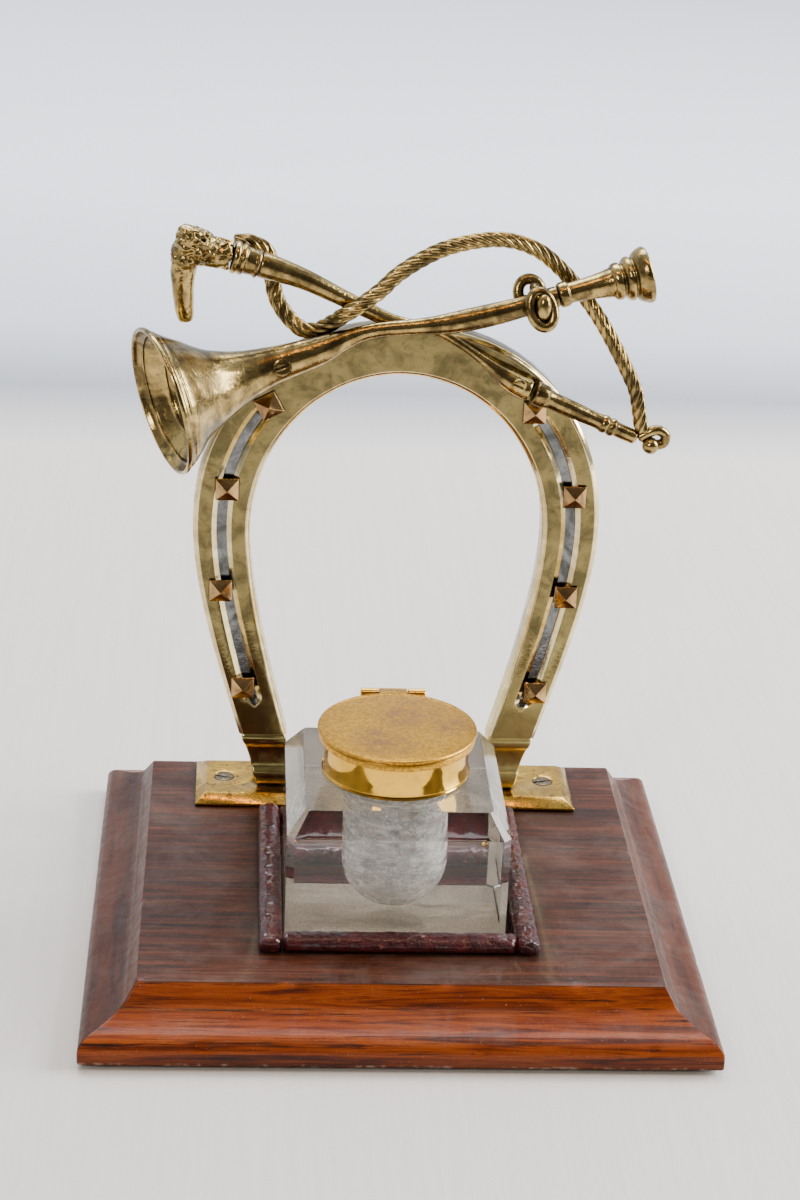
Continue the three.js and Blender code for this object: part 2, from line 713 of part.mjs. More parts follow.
// The cast lash: from the keeper up behind the horn, over in a wide arc, down in front of the
// stock, round under it and back up behind it to the handle.
const LASH_LINE = [
  [68.4, 38.7, 137.4],
  [67.6, 38.8, 140.6],
  [65.7, 39.4, 149.4],
  [63.2, 40.4, 154.7],
  [60.4, 41.8, 159.7],
  [54.5, 44.4, 169.1],
  [48.5, 45.6, 176.7],
  [42.7, 46, 182.8],
  [36.2, 46, 187.8],
  [28.1, 45.4, 190.6],
  [19.6, 44.4, 190.6],
  [8.4, 42.2, 188],
  [-2.6, 39.2, 182.1],
  [-8, 37, 177.5],
  [-13.5, 34.9, 173.8],
  [-17.6, 35.2, 171],
  [-21.6, 37.2, 167.6],
  [-25.3, 38.8, 165.2],
  [-28.9, 39.9, 165],
  [-32, 41.2, 167],
  [-34.5, 43, 169.5],
  [-36.5, 44.8, 172.7],
  [-37.5, 46, 176.6],
  [-38.1, 46.2, 181.7],
  [-39.6, 45.8, 185.5],
  [-42.2, 45.5, 187.3],
  [-45.5, 45.4, 188.1],
  [-48.4, 45, 187.7],
];
const LASH_RADII = [2.05, 2.35];
const ROPE_SEAT = 0.05; // between the rope's shaped lower end and the tip and keeper it sits on

function buildLash() {
  const lash = new THREE.Group();
  const rope = solid(barAlong(curveThrough(LASH_LINE), LASH_RADII, 64));
  add(lash, "lash_rope", cut(rope, tipBar(ROPE_SEAT), keeperBar(ROPE_SEAT)), brass);
  return lash;
}

// ---------------------------------------------------------------- ink bottle

function buildBottle() {
  const bottle = new THREE.Group();
  const { x, y, halfSize, bottom, shoulder, top } = BOTTLE;
  const topHalf = halfSize - SHOULDER_INSET;
  const body = loft([
    rectangle(x, y, halfSize, halfSize, bottom, BOTTLE_CORNER),
    rectangle(x, y, halfSize, halfSize, shoulder, BOTTLE_CORNER),
    rectangle(x, y, topHalf, topHalf, top, BOTTLE_CORNER / 2),
  ]);
  const { radius, throat, top: neckTop } = NECK;
  const neck = rodZ(radius, x, y, top - 2, neckTop, 32);
  const bowl = new THREE.Path()
    .absarc(0, WELL.bottom + WELL.radius, WELL.radius, -Math.PI / 2, 0)
    .lineTo(WELL.radius, top - 5);
  bowl.quadraticCurveTo(WELL.radius, top - 1, throat, top);
  bowl.lineTo(throat, neckTop + 1).lineTo(0, neckTop + 1);
  const profile = bowl.getPoints(4).map((point) => [Math.max(point.x, 0), point.y]);
  profile[0][0] = 0;
  add(bottle, "ink_bottle", cut(join(body, neck), turned(profile, x, y)), crystal);

  const hingeX0 = x - HINGE.halfWidth;
  const hingeX1 = x + HINGE.halfWidth;
  const hingeBack = HINGE.y + HINGE.barrel;
  const pinHole = rodX(HINGE.pin + GAP, hingeX0 - 1, hingeX1 + 1, HINGE.y, HINGE.z);
  const sleeve = [
    [COLLAR.inner, COLLAR.bottom],
    [COLLAR.outer, COLLAR.bottom],
    [COLLAR.outer, COLLAR.top],
    [COLLAR.inner, COLLAR.top],
    [COLLAR.inner, COLLAR.bottom],
  ];
  const bracket = block(hingeX0, hingeX1, y + COLLAR.outer - 0.9, hingeBack, 62.6, HINGE.z - HINGE.barrel - GAP);
  const knuckles = [[hingeX0, x - HINGE.knuckle - GAP], [x + HINGE.knuckle + GAP, hingeX1]].flatMap(([x0, x1]) => [
    rodX(HINGE.barrel, x0, x1, HINGE.y, HINGE.z),
    block(x0, x1, HINGE.y - 0.6, hingeBack, 64, HINGE.z),
  ]);
  const collar = cut(join(turned(sleeve, x, y, 40), bracket, ...knuckles), pinHole);
  add(bottle, "bottle_collar", collar, brass);
  add(bottle, "hinge_pin", rodX(HINGE.pin, hingeX0, hingeX1, HINGE.y, HINGE.z, 12), steel);

  const cap = [
    [0, LID.disc],
    [LID.skirtInner, LID.disc],
    [LID.skirtInner, LID.bottom],
    [LID.skirtOuter, LID.bottom],
    [LID.skirtOuter, LID.disc - 0.1],
    [LID.radius, LID.disc + 0.2],
    [LID.radius, LID.top - 0.3],
    [LID.radius - 0.4, LID.top],
    [0, LID.top],
  ];
  const lidKnuckle = [
    rodX(HINGE.barrel, x - HINGE.knuckle, x + HINGE.knuckle, HINGE.y, HINGE.z),
    block(x - HINGE.knuckle, x + HINGE.knuckle, y + LID.skirtInner, HINGE.y, LID.disc, LID.top),
  ];
  add(bottle, "lid", cut(join(turned(cap, x, y, 40), ...lidKnuckle), pinHole), lidBrass);
  return bottle;
}

inkstand.add(
  buildBase(),
  buildSurround(),
  buildShoe(),
  buildFeet(),
  buildHorn(),
  buildCrop(),
  buildLash(),
  buildBottle(),
);

export default inkstand;
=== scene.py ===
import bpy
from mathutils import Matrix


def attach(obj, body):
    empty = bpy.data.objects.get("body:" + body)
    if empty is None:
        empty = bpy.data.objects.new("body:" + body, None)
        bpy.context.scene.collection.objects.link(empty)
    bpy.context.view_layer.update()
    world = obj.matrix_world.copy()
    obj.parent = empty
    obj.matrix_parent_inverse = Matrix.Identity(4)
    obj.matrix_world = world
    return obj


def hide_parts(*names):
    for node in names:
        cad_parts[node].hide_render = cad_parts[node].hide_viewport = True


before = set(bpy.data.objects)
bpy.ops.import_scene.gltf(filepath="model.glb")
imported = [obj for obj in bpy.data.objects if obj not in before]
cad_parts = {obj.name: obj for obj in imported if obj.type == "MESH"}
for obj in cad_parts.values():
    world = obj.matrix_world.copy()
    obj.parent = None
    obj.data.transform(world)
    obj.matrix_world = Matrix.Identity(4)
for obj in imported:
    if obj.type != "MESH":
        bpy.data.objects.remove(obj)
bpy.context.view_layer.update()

# Looks of the equestrian desk inkstand: finer pieces and procedural materials around its CAD frame.
# Shapes are drawn in millimetres, +Z up, the front faces -Y, as in the CAD, and scaled to metres.
import math

import bmesh
import bpy
import numpy as np
from mathutils import Matrix, Vector, noise

MM = 0.001
TURN = 2 * math.pi
norm = np.linalg.norm
rng = np.random.default_rng(7)
BASE_HALF = (85.0, 79.2)


# ---- meshes

def around(count):
    """That many angles, evenly spaced round a full turn."""
    return np.arange(count) / count * TURN


def circle(x, y, radius, angles):
    return np.column_stack([x + radius * np.cos(angles), y + radius * np.sin(angles)])


def level(outline, z):
    """A flat outline as a ring of points at one height."""
    return np.column_stack([outline, np.full(len(outline), z)])


def ring(centre, side, up, radii):
    """A ring of points round a centre, with a radius for each of them."""
    angles = around(len(radii))
    return centre + np.outer(radii * np.cos(angles), side) + np.outer(radii * np.sin(angles), up)


def closed_object(name, islands, material, crease=38):
    """One object from a list of (vertices in mm, faces), with its faces turned outwards."""
    vertices, faces = [], []
    for points, polygons in islands:
        start = len(vertices)
        vertices.extend(np.asarray(points, float) * MM)
        faces.extend([start + i for i in polygon] for polygon in polygons)
    mesh = bpy.data.meshes.new(name)
    mesh.from_pydata([tuple(v) for v in vertices], [], faces)
    tool = bmesh.new()
    tool.from_mesh(mesh)
    bmesh.ops.recalc_face_normals(tool, faces=tool.faces)
    tool.to_mesh(mesh)
    tool.free()
    mesh.shade_smooth()
    mesh.set_sharp_from_angle(angle=math.radians(crease))
    obj = bpy.data.objects.new(name, mesh)
    bpy.context.collection.objects.link(obj)
    mesh.materials.append(material)
    return obj


def loft(rings, closed=False):
    """Quads between rings of equal length, with flat ends, or joined round when closed."""
    rings = np.asarray(rings, float)
    levels, count = rings.shape[:2]
    faces = []
    for k in range(levels if closed else levels - 1):
        low, high = k * count, (k + 1) % levels * count
        for i in range(count):
            j = (i + 1) % count
            faces.append([low + i, low + j, high + j, high + i])
    if not closed:
        faces.append(list(range(count))[::-1])
        faces.append([(levels - 1) * count + i for i in range(count)])
    return rings.reshape(-1, 3), faces


def through(points, fine=24):
    """Points along a centripetal Catmull-Rom curve through the given ones, in any dimension."""
    given = np.asarray(points, float)
    ends = np.vstack([2 * given[0] - given[1], given, 2 * given[-1] - given[-2]])
    out = [given[0]]
    for a, b, c, d in zip(ends, ends[1:], ends[2:], ends[3:]):
        before, span, after = (math.sqrt(max(norm(q - p), 1e-9)) for p, q in ((a, b), (b, c), (c, d)))
        leave = ((b - a) / before - (c - a) / (before + span) + (c - b) / span) * span
        arrive = ((c - b) / span - (d - b) / (span + after) + (d - c) / after) * span
        for t in np.arange(1, fine + 1) / fine:
            out.append(
                b + leave * t + (3 * (c - b) - 2 * leave - arrive) * t * t
                + (2 * (b - c) + leave + arrive) * t ** 3
            )
    return np.array(out)


class Path:
    """A smooth curve with frames that don't twist, looked up by distance in mm."""

    def __init__(self, points):
        self.points = through(points)
        steps = np.diff(self.points, axis=0)
        self.reach = np.concatenate([[0], np.cumsum(norm(steps, axis=1))])
        self.length = self.reach[-1]
        tangents = np.gradient(self.points, self.reach, axis=0)
        self.tangents = tangents / norm(tangents, axis=1)[:, None]
        side = np.cross(self.tangents[0], (0, 0, 1))
        sides = []
        for tangent in self.tangents:
            side = side - tangent * side.dot(tangent)
            side = side / norm(side)
            sides.append(side)
        self.sides = np.array(sides)

    def at(self, distance):
        """Centre, tangent, side and up at a distance, straight on past either end."""
        inside = min(max(distance, 0), self.length)
        centre, tangent, side = (
            np.array([np.interp(inside, self.reach, column) for column in rows.T])
            for rows in (self.points, self.tangents, self.sides)
        )
        tangent /= norm(tangent)
        side -= tangent * side.dot(tangent)
        side /= norm(side)
        return centre + tangent * (distance - inside), tangent, side, np.cross(side, tangent)


def sweep(path, profile, sides, radial=None):
    """A turned shape whose axis follows a path. The profile is a list of (distance, radius)."""
    rings = []
    for distance, radius in profile:
        centre, _, side, up = path.at(distance)
        radii = np.full(sides, radius) if radial is None else radius * radial(around(sides), distance)
        rings.append(ring(centre, side, up, radii))
    return loft(rings)


def turned(profile, x, y, sides, closed=False):
    """A solid of revolution about the vertical line through (x, y), from a list of (radius, z)."""
    return loft([level(circle(x, y, radius, around(sides)), z) for radius, z in profile], closed)


def even(profile, step):
    """A polyline with points no further apart than the step, its corners kept."""
    profile = np.asarray(profile, float)
    out = [profile[0]]
    for a, b in zip(profile, profile[1:]):
        count = max(1, math.ceil(norm(b - a) / step))
        out.extend(a + (b - a) * i / count for i in range(1, count + 1))
    return out


def ball(centre, radius, stretch=(1, 1, 1), rings=16, sides=24):
    """A sphere, stretched or not, as a stack of rings."""
    unit = [
        level(circle(0, 0, np.cos(low), around(sides)), math.sin(low))
        for low in np.linspace(-0.49, 0.49, rings) * math.pi
    ]
    return loft([points * stretch * radius + centre for points in unit])


def ring_bar(loop, radius, lobes, turns):
    """A bar of the given radius round a closed loop of points, twisted like cord where it has lobes."""
    sides = 20
    loop = np.asarray(loop, float)
    count = len(loop)
    tangents = np.roll(loop, -1, axis=0) - np.roll(loop, 1, axis=0)
    tangents /= norm(tangents, axis=1)[:, None]
    middle = loop.mean(axis=0)
    rings = []
    for i, (point, tangent) in enumerate(zip(loop, tangents)):
        out = point - middle
        out -= tangent * out.dot(tangent)
        out /= norm(out)
        up = np.cross(tangent, out)
        twist = TURN * turns * i / count
        radii = radius * (cord_section(around(sides), twist, lobes) if lobes else np.ones(sides))
        rings.append(ring(point, out, up, radii))
    return loft(rings, closed=True)


def cord_section(angles, twist, lobes):
    """Radius share round a cord of that many strands: round backs with sharp creases between."""
    depth, roundness = 0.55, 0.96
    across = ((angles - twist) / TURN * lobes) % 1
    return 1 - depth * (1 - np.sqrt(1 - (2 * across - 1) ** 2 * roundness))


def lumps(points, scale, seed=0.0):
    """Smooth noise from -1 to 1 at each point, with features of about `scale` mm."""
    shift = Vector((seed, seed * 1.7, seed * 0.6))
    return np.array([noise.noise(Vector(p) / scale + shift) for p in points])


# ---- materials

class Nodes:
    """Short-hand for building the node tree of a material or a world."""

    def __init__(self, owner):
        owner.use_nodes = True
        self.tree = owner.node_tree

    def node(self, kind, inputs=None, **settings):
        made = self.tree.nodes.new(kind)
        for key, value in settings.items():
            setattr(made, key, value)
        for key, value in (inputs or {}).items():
            self.feed(made.inputs[key], value)
        return made

    def feed(self, socket, value):
        if isinstance(value, bpy.types.NodeSocket):
            self.tree.links.new(value, socket)
        else:
            socket.default_value = value

    def split(self, vector):
        return self.node("ShaderNodeSeparateXYZ", {0: vector}).outputs

    def ramp(self, value, *stops):
        made = self.node("ShaderNodeValToRGB", {0: value})
        points = made.color_ramp.elements
        while len(points) < len(stops):
            points.new(0.5)
        for point, (place, shade) in zip(points, stops):
            point.position = place
            point.color = (*shade, 1) if isinstance(shade, tuple) else (shade, shade, shade, 1)
        return made.outputs[0]


class Graph(Nodes):
    """Short-hand for the nodes of one material; its coordinates are the object's own, in mm."""

    def __init__(self, name):
        self.material = bpy.data.materials.new(name)
        super().__init__(self.material)
        self.shader = self.tree.nodes["Principled BSDF"]
        place = self.node("ShaderNodeTexCoord").outputs["Object"]
        self.place = self.node("ShaderNodeMapping", {"Vector": place, "Scale": (1000, 1000, 1000)}).outputs[0]

    def set(self, **values):
        """Feeds inputs of the shader, and returns the material."""
        for key, value in values.items():
            self.feed(self.shader.inputs[key.replace("_", " ")], value)
        return self.material

    def stretched(self, scale, turn=(0, 0, 0)):
        return self.node("ShaderNodeMapping", {"Vector": self.place, "Scale": scale, "Rotation": turn}).outputs[0]

    def noise(self, scale, detail=4, rough=0.55, warp=0, place=None):
        return self.node(
            "ShaderNodeTexNoise",
            {"Vector": place or self.place, "Scale": scale, "Detail": detail, "Roughness": rough, "Distortion": warp},
        ).outputs[0]

    def cells(self, scale, feature="F1"):
        made = self.node("ShaderNodeTexVoronoi", {"Vector": self.place, "Scale": scale}, feature=feature)
        return made.outputs["Distance"]

    def mix(self, share, a, b):
        made = self.node("ShaderNodeMix", data_type="RGBA")
        self.feed(made.inputs[0], share)
        for socket, value in ((made.inputs[6], a), (made.inputs[7], b)):
            self.feed(socket, (*value, 1) if isinstance(value, tuple) else value)
        return made.outputs[2]

    def sum(self, way, a, b):
        return self.node("ShaderNodeMath", {0: a, 1: b}, operation=way).outputs[0]

    def times(self, a, b):
        return self.sum("MULTIPLY", a, b)

    def recess(self, reach_mm, low=0.3, high=0.95):
        """1 in corners and creases narrower than the reach, 0 on open surfaces."""
        made = self.node("ShaderNodeAmbientOcclusion", {"Distance": reach_mm * MM}, samples=6)
        return self.ramp(made.outputs["AO"], (low, 1.0), (high, 0.0))

    def bump(self, height, depth_mm, over=None):
        inputs = {"Height": height, "Distance": depth_mm * MM, "Strength": 1.0}
        if over is not None:
            inputs["Normal"] = over
        return self.node("ShaderNodeBump", inputs).outputs[0]


def aged_brass(name, clean, worn, stain, rough, spots, cast, crevice=1.6, dull_and_sheen_below=0):
    """Brass with an uneven patina, dark stain in its recesses and fine handling marks.

    `rough` is for clean and worn metal, `cast` the depth of its lumps and `crevice` the reach of the
    stain in mm. Below the height given last it is duller, and painted lighter and yellower as a painted reflection,
    most of all on the right.
    """
    g = Graph(name)
    cloud = g.ramp(g.noise(0.13, 6, 0.62, 0.6), (0.4, 0.0), (0.6, 1.0))
    colour = g.mix(cloud, clean, worn)
    blotch = g.ramp(g.noise(0.55, 5, 0.65), (0.55, 0.0), (0.72, spots))
    colour = g.mix(blotch, colour, stain)
    speck = g.ramp(g.noise(3.4, 3, 0.5), (0.62, 0.0), (0.76, spots))
    colour = g.mix(speck, colour, stain)
    if dull_and_sheen_below:
        across, _, height = g.split(g.place)
        low = g.ramp(g.sum("DIVIDE", height, dull_and_sheen_below), (0.75, 1.0), (1.0, 0.0))
        # painted reflection: towards the right the lower metal is painted lighter and yellower
        right = g.ramp(g.sum("ADD", g.sum("DIVIDE", across, 100), 0.5), (0.4, 0.42), (0.6, 1.0))
        low = g.times(low, right)
        share = g.times(low, g.ramp(cloud, (0, 1.0), (1, 0.7)))
        colour = g.mix(share, colour, (0.72, 0.62, 0.24))
    recess = g.recess(crevice)
    colour = g.mix(recess, colour, tuple(0.35 * c for c in stain))
    haze = g.sum("ADD", g.times(cloud, rough[1] - rough[0]), rough[0])
    haze = g.sum("ADD", haze, g.times(recess, 0.3))
    if dull_and_sheen_below:
        haze = g.sum("MAXIMUM", haze, g.times(low, 0.36))
    g.set(Base_Color=colour, Roughness=haze, Metallic=1.0)
    lumpy = g.bump(g.noise(0.9, 4, 0.55), cast * 3)
    fine = g.bump(g.noise(7, 3, 0.6), cast * 0.35, over=lumpy)
    scratches = g.noise(1.0, 2, 0.5, place=g.stretched((9, 0.5, 1.2), (0.4, 0.2, 0.7)))
    return g.set(Normal=g.bump(scratches, cast * 0.2, over=fine))


def wood_material():
    """Dark rosewood under old varnish, dusty and figured: an orange front moulding, with the side mouldings and the
    deck painted as browner and darker copies of it, which is painted shade.
    """
    g = Graph("rosewood_varnished")
    x, y, z = g.split(g.place)
    height = g.sum("DIVIDE", z, 20)
    figure = g.noise(1.5, 9, 0.62, 1.1, place=g.stretched((0.013, 0.24, 0.27), (0.03, 0.06, 0.03)))
    side_figure = g.noise(1.5, 8, 0.55, 0.8, place=g.stretched((0.16, 0.02, 0.16), (0, 0, 0.3)))
    past_mitre = g.sum("SUBTRACT", g.sum("ABSOLUTE", x, 0), g.sum("ABSOLUTE", y, 0))
    mitre = g.sum("GREATER_THAN", past_mitre, BASE_HALF[0] - BASE_HALF[1])
    # painted shade: the deck (by height) and the side mouldings (past the mitres) get darker, browner copies of the
    # front's orange wood
    deck = g.ramp(height, (0.875, 0.0), (0.895, 1.0))
    shaded_side = g.times(mitre, g.sum("SUBTRACT", 1.0, deck))
    orange = g.ramp(
        figure, (0.28, (0.012, 0.002, 0.0006)), (0.4, (0.085, 0.012, 0.0012)), (0.5, (0.19, 0.032, 0.002)),
        (0.59, (0.26, 0.052, 0.004)), (0.65, (0.12, 0.019, 0.0015)), (0.74, (0.23, 0.044, 0.003)),
    )
    side_shade_brown = g.ramp(side_figure, (0.35, (0.03, 0.007, 0.003)), (0.6, (0.08, 0.02, 0.007)))
    dark = g.ramp(figure, (0.32, (0.012, 0.003, 0.001)), (0.5, (0.05, 0.012, 0.004)), (0.68, (0.1, 0.026, 0.008)))
    colour = g.mix(deck, g.mix(shaded_side, orange, side_shade_brown), dark)
    streaks = g.noise(1.0, 4, 0.6, 0.3, place=g.stretched((0.035, 1.1, 1.1), (0.03, 0.05, 0.035)))
    lines = g.ramp(streaks, (0.57, 0.0), (0.66, 0.9))
    colour = g.mix(g.times(lines, g.sum("SUBTRACT", 1.0, shaded_side)), colour, (0.012, 0.003, 0.001))
    pores = g.ramp(g.noise(1.0, 3, 0.6, place=g.stretched((0.3, 4.5, 4.5))), (0.62, 0.0), (0.72, 0.7))
    colour = g.mix(pores, colour, (0.012, 0.004, 0.002))
    facing = g.split(g.node("ShaderNodeNewGeometry").outputs["Normal"])[2]
    dust = g.ramp(g.noise(0.045, 6, 0.7, 0.5), (0.45, 0.0), (0.75, 0.16))
    colour = g.mix(g.times(dust, g.ramp(facing, (0.6, 0.0), (0.97, 1.0))), colour, (0.34, 0.28, 0.25))
    specks = g.ramp(g.noise(2.6, 2, 0.4), (0.71, 0.0), (0.77, 0.4))
    colour = g.mix(specks, colour, (0.45, 0.36, 0.28))
    # painted shade: darker in recesses and beside the parts on the deck, within 7 mm
    colour = g.mix(g.times(g.recess(7, 0.45, 0.98), 0.75), colour, (0.008, 0.004, 0.003))
    worn_edge = g.ramp(g.noise(0.35, 5, 0.6), (0.5, 0.0), (0.62, 0.55))
    near_felt = g.ramp(height, (0.085, 1.0), (0.12, 0.0))
    colour = g.mix(g.times(worn_edge, near_felt), colour, (0.42, 0.33, 0.27))
    g.set(
        Base_Color=colour,
        Roughness=g.ramp(g.noise(0.3, 5, 0.6), (0.35, 0.34), (0.7, 0.52)),
        Specular_IOR_Level=0.15,
        Coat_Weight=0.14,
        Coat_Roughness=0.1,
    )
    soft = g.bump(g.noise(0.1, 3, 0.5), 0.14)
    return g.set(Normal=g.bump(g.sum("SUBTRACT", figure, g.times(pores, 0.5)), 0.06, over=soft))


def leather_material():
    """Burgundy leather, creased and polished by hands, rubbed to tan in patches."""
    g = Graph("leather_burgundy")
    cloud = g.ramp(g.noise(0.25, 5, 0.6), (0.35, 0.0), (0.7, 1.0))
    colour = g.mix(cloud, (0.03, 0.0006, 0.002), (0.10, 0.0015, 0.005))
    creases = g.ramp(g.cells(1.5, "DISTANCE_TO_EDGE"), (0.02, 1.0), (0.16, 0.0))
    colour = g.mix(g.times(creases, 0.5), colour, (0.02, 0.004, 0.006))
    rubbed = g.ramp(g.noise(0.5, 6, 0.7), (0.6, 0.0), (0.68, 0.6))
    colour = g.mix(rubbed, colour, (0.30, 0.06, 0.025))
    g.set(
        Base_Color=colour,
        Roughness=g.ramp(g.noise(0.9, 4, 0.6), (0.3, 0.3), (0.7, 0.6)),
        Specular_IOR_Level=0.2,
        Coat_Weight=0.7,
        Coat_Roughness=0.08,
    )
    grain = g.bump(g.cells(1.9), 0.16, over=g.bump(g.noise(0.7, 6, 0.6), 0.8))
    return g.set(Normal=g.bump(creases, -0.1, over=grain))


def felt_material():
    g = Graph("felt_black")
    fuzz = g.noise(6, 6, 0.75)
    colour = g.mix(fuzz, (0.012, 0.011, 0.011), (0.07, 0.062, 0.058))
    dusty = g.ramp(g.noise(0.4, 4, 0.6), (0.5, 0.0), (0.8, 0.5))
    g.set(Base_Color=g.mix(dusty, colour, (0.16, 0.14, 0.125)), Roughness=0.95, Sheen_Weight=0.4)
    return g.set(Normal=g.bump(fuzz, 0.3))


def glass_material():
    """Old cut glass with a faint grey tint and slight wear."""
    g = Graph("cut_glass")
    g.set(Base_Color=(0.955, 0.955, 0.925, 1), IOR=1.52, Transmission_Weight=1.0)
    smears = g.ramp(g.noise(0.35, 5, 0.65), (0.52, 0.0), (0.75, 0.035))
    specks = g.ramp(g.noise(2.2, 3, 0.5), (0.72, 0.0), (0.78, 0.3))
    g.set(Roughness=g.sum("MAXIMUM", smears, specks))
    return g.set(Normal=g.bump(g.noise(0.08, 2, 0.5), 0.05))


def residue_material():
    """The well's wall, clouded grey-white by dried ink water, in tide lines and speckles."""
    g = Graph("glass_clouded")
    z = g.split(g.place)[2]
    tides = g.noise(1, 6, 0.65, place=g.stretched((0.03, 0.03, 0.55)))
    blots = g.noise(0.22, 6, 0.7)
    grit = g.noise(1.7, 6, 0.8)
    mixed = g.sum("ADD", g.times(blots, 0.5), g.times(g.sum("ADD", tides, grit), 0.25))
    cloud = g.ramp(mixed, (0.42, 0.08), (0.55, 0.8))
    cloud = g.times(cloud, g.ramp(g.sum("DIVIDE", z, 60), (0.8, 1.0), (0.87, 0.2)))
    streaks = g.noise(1, 7, 0.75, 0.6, place=g.stretched((0.17, 0.17, 0.5), (0.2, 0.1, 0.3)))
    shade = g.mix(g.ramp(streaks, (0.42, 0.0), (0.56, 1.0)), (0.07, 0.085, 0.12), (0.97, 0.96, 0.97))
    wavy = g.sum("DIVIDE", g.sum("ADD", z, g.times(tides, 1.2)), 60)
    tide = g.ramp(wavy, (0.835, 0.0), (0.845, 0.85), (0.855, 0.1), (0.87, 0.7), (0.885, 0.0))
    shade = g.mix(tide, shade, (0.1, 0.05, 0.05))
    g.set(
        Base_Color=g.mix(cloud, (0.96, 0.96, 0.94), shade),
        Transmission_Weight=g.sum("SUBTRACT", 1.0, cloud),
        Roughness=g.times(cloud, 0.5),
        IOR=1.52,
    )
    return g.set(Normal=g.bump(grit, 0.12))


def dusty_glass_material():
    """The bottle's underside, scuffed and dusty."""
    g = Graph("glass_scuffed")
    grit = g.noise(1.3, 8, 0.85)
    film = g.ramp(grit, (0.4, (0.4, 0.33, 0.25)), (0.5, (0.64, 0.55, 0.44)), (0.62, (0.85, 0.77, 0.64)))
    worn_through = g.ramp(g.noise(0.09, 6, 0.7, 0.8), (0.38, 0.15), (0.62, 0.6))
    return g.set(Base_Color=film, Roughness=0.35, IOR=1.02, Transmission_Weight=worn_through)


def steel_material():
    g = Graph("steel_dark")
    rust = g.ramp(g.noise(0.9, 5, 0.7), (0.45, 0.0), (0.65, 1.0))
    colour = g.mix(rust, (0.16, 0.13, 0.09), (0.03, 0.022, 0.015))
    g.set(Base_Color=colour, Roughness=g.ramp(rust, (0, 0.38), (1, 0.65)), Metallic=0.9)
    return g.set(Normal=g.bump(g.noise(3.5, 5, 0.6), 0.06))


def lid_material():
    """The lid's brass: dull gold, closely speckled, with reddish patches where it is touched."""
    g = Graph("brass_lid")
    speckle = g.ramp(g.noise(1.1, 8, 0.88), (0.44, 0.0), (0.56, 1.0))
    colour = g.mix(speckle, (0.82, 0.44, 0.045), (0.36, 0.185, 0.024))
    patches = None
    for x, y, size in ((-5, -24, 7.5), (13.5, -12, 5), (-8, -19, 5), (2, -6, 9)):
        away = g.node("ShaderNodeVectorMath", {0: g.place, 1: (x, y, 68.6)}, operation="DISTANCE").outputs["Value"]
        near = g.ramp(g.sum("DIVIDE", away, size * 2), (0.2, 1.0), (0.75, 0.0))
        patches = near if patches is None else g.sum("MAXIMUM", patches, near)
    patches = g.times(patches, g.ramp(g.noise(0.4, 6, 0.7), (0.38, 0.1), (0.6, 0.85)))
    colour = g.mix(patches, colour, (0.27, 0.13, 0.07))
    spots = g.ramp(g.noise(0.7, 7, 0.85), (0.6, 0.0), (0.68, 0.8))
    colour = g.mix(spots, colour, (0.1, 0.06, 0.03))
    colour = g.mix(g.recess(0.8), colour, (0.1, 0.06, 0.025))
    g.set(Base_Color=colour, Metallic=1.0, Roughness=g.ramp(speckle, (0, 0.3), (1, 0.46)))
    return g.set(Normal=g.bump(g.noise(4, 5, 0.7), 0.025, over=g.bump(g.noise(0.12, 2, 0.5), 0.1)))


BRASSES = {
    # clean, worn and stain colours, roughness, share of spots, depth of lumps, reach of the stain, dull below (and
    # painted lighter and yellower there, a painted reflection)
    "trophy": ((0.50, 0.36, 0.13), (0.13, 0.094, 0.038), (0.028, 0.021, 0.013), (0.09, 0.24), 0.7, 0.03),
    "shoe": ((0.25, 0.20, 0.078), (0.12, 0.098, 0.042), (0.026, 0.021, 0.013), (0.07, 0.2), 0.4, 0.012, 0.7, 72),
    # rubbed: worn brass, made bright on the shoe's chamfers and groove rims partly as a painted highlight
    "rubbed": ((0.88, 0.74, 0.42), (0.6, 0.48, 0.24), (0.1, 0.08, 0.05), (0.06, 0.16), 0.4, 0.006, 0.5),
    "groove": ((0.22, 0.235, 0.235), (0.09, 0.092, 0.09), (0.03, 0.027, 0.022), (0.1, 0.26), 0.5, 0.02, 0.5),
    "stud": ((0.56, 0.36, 0.15), (0.26, 0.155, 0.07), (0.04, 0.025, 0.015), (0.1, 0.24), 0.5, 0.012),
    "plate": ((0.82, 0.5, 0.09), (0.42, 0.25, 0.055), (0.03, 0.022, 0.012), (0.12, 0.3), 0.9, 0.02),
    "collar": ((0.9, 0.54, 0.07), (0.74, 0.42, 0.055), (0.1, 0.065, 0.025), (0.04, 0.1), 0.15, 0.004),
}
brass = {name: aged_brass(f"brass_{name}", *looks) for name, looks in BRASSES.items()}
lid_brass = lid_material()
rosewood = wood_material()
leather = leather_material()
felt = felt_material()
glass = glass_material()
clouded = residue_material()
scuffed = dusty_glass_material()
steel = steel_material()


# ---- wood base and felt

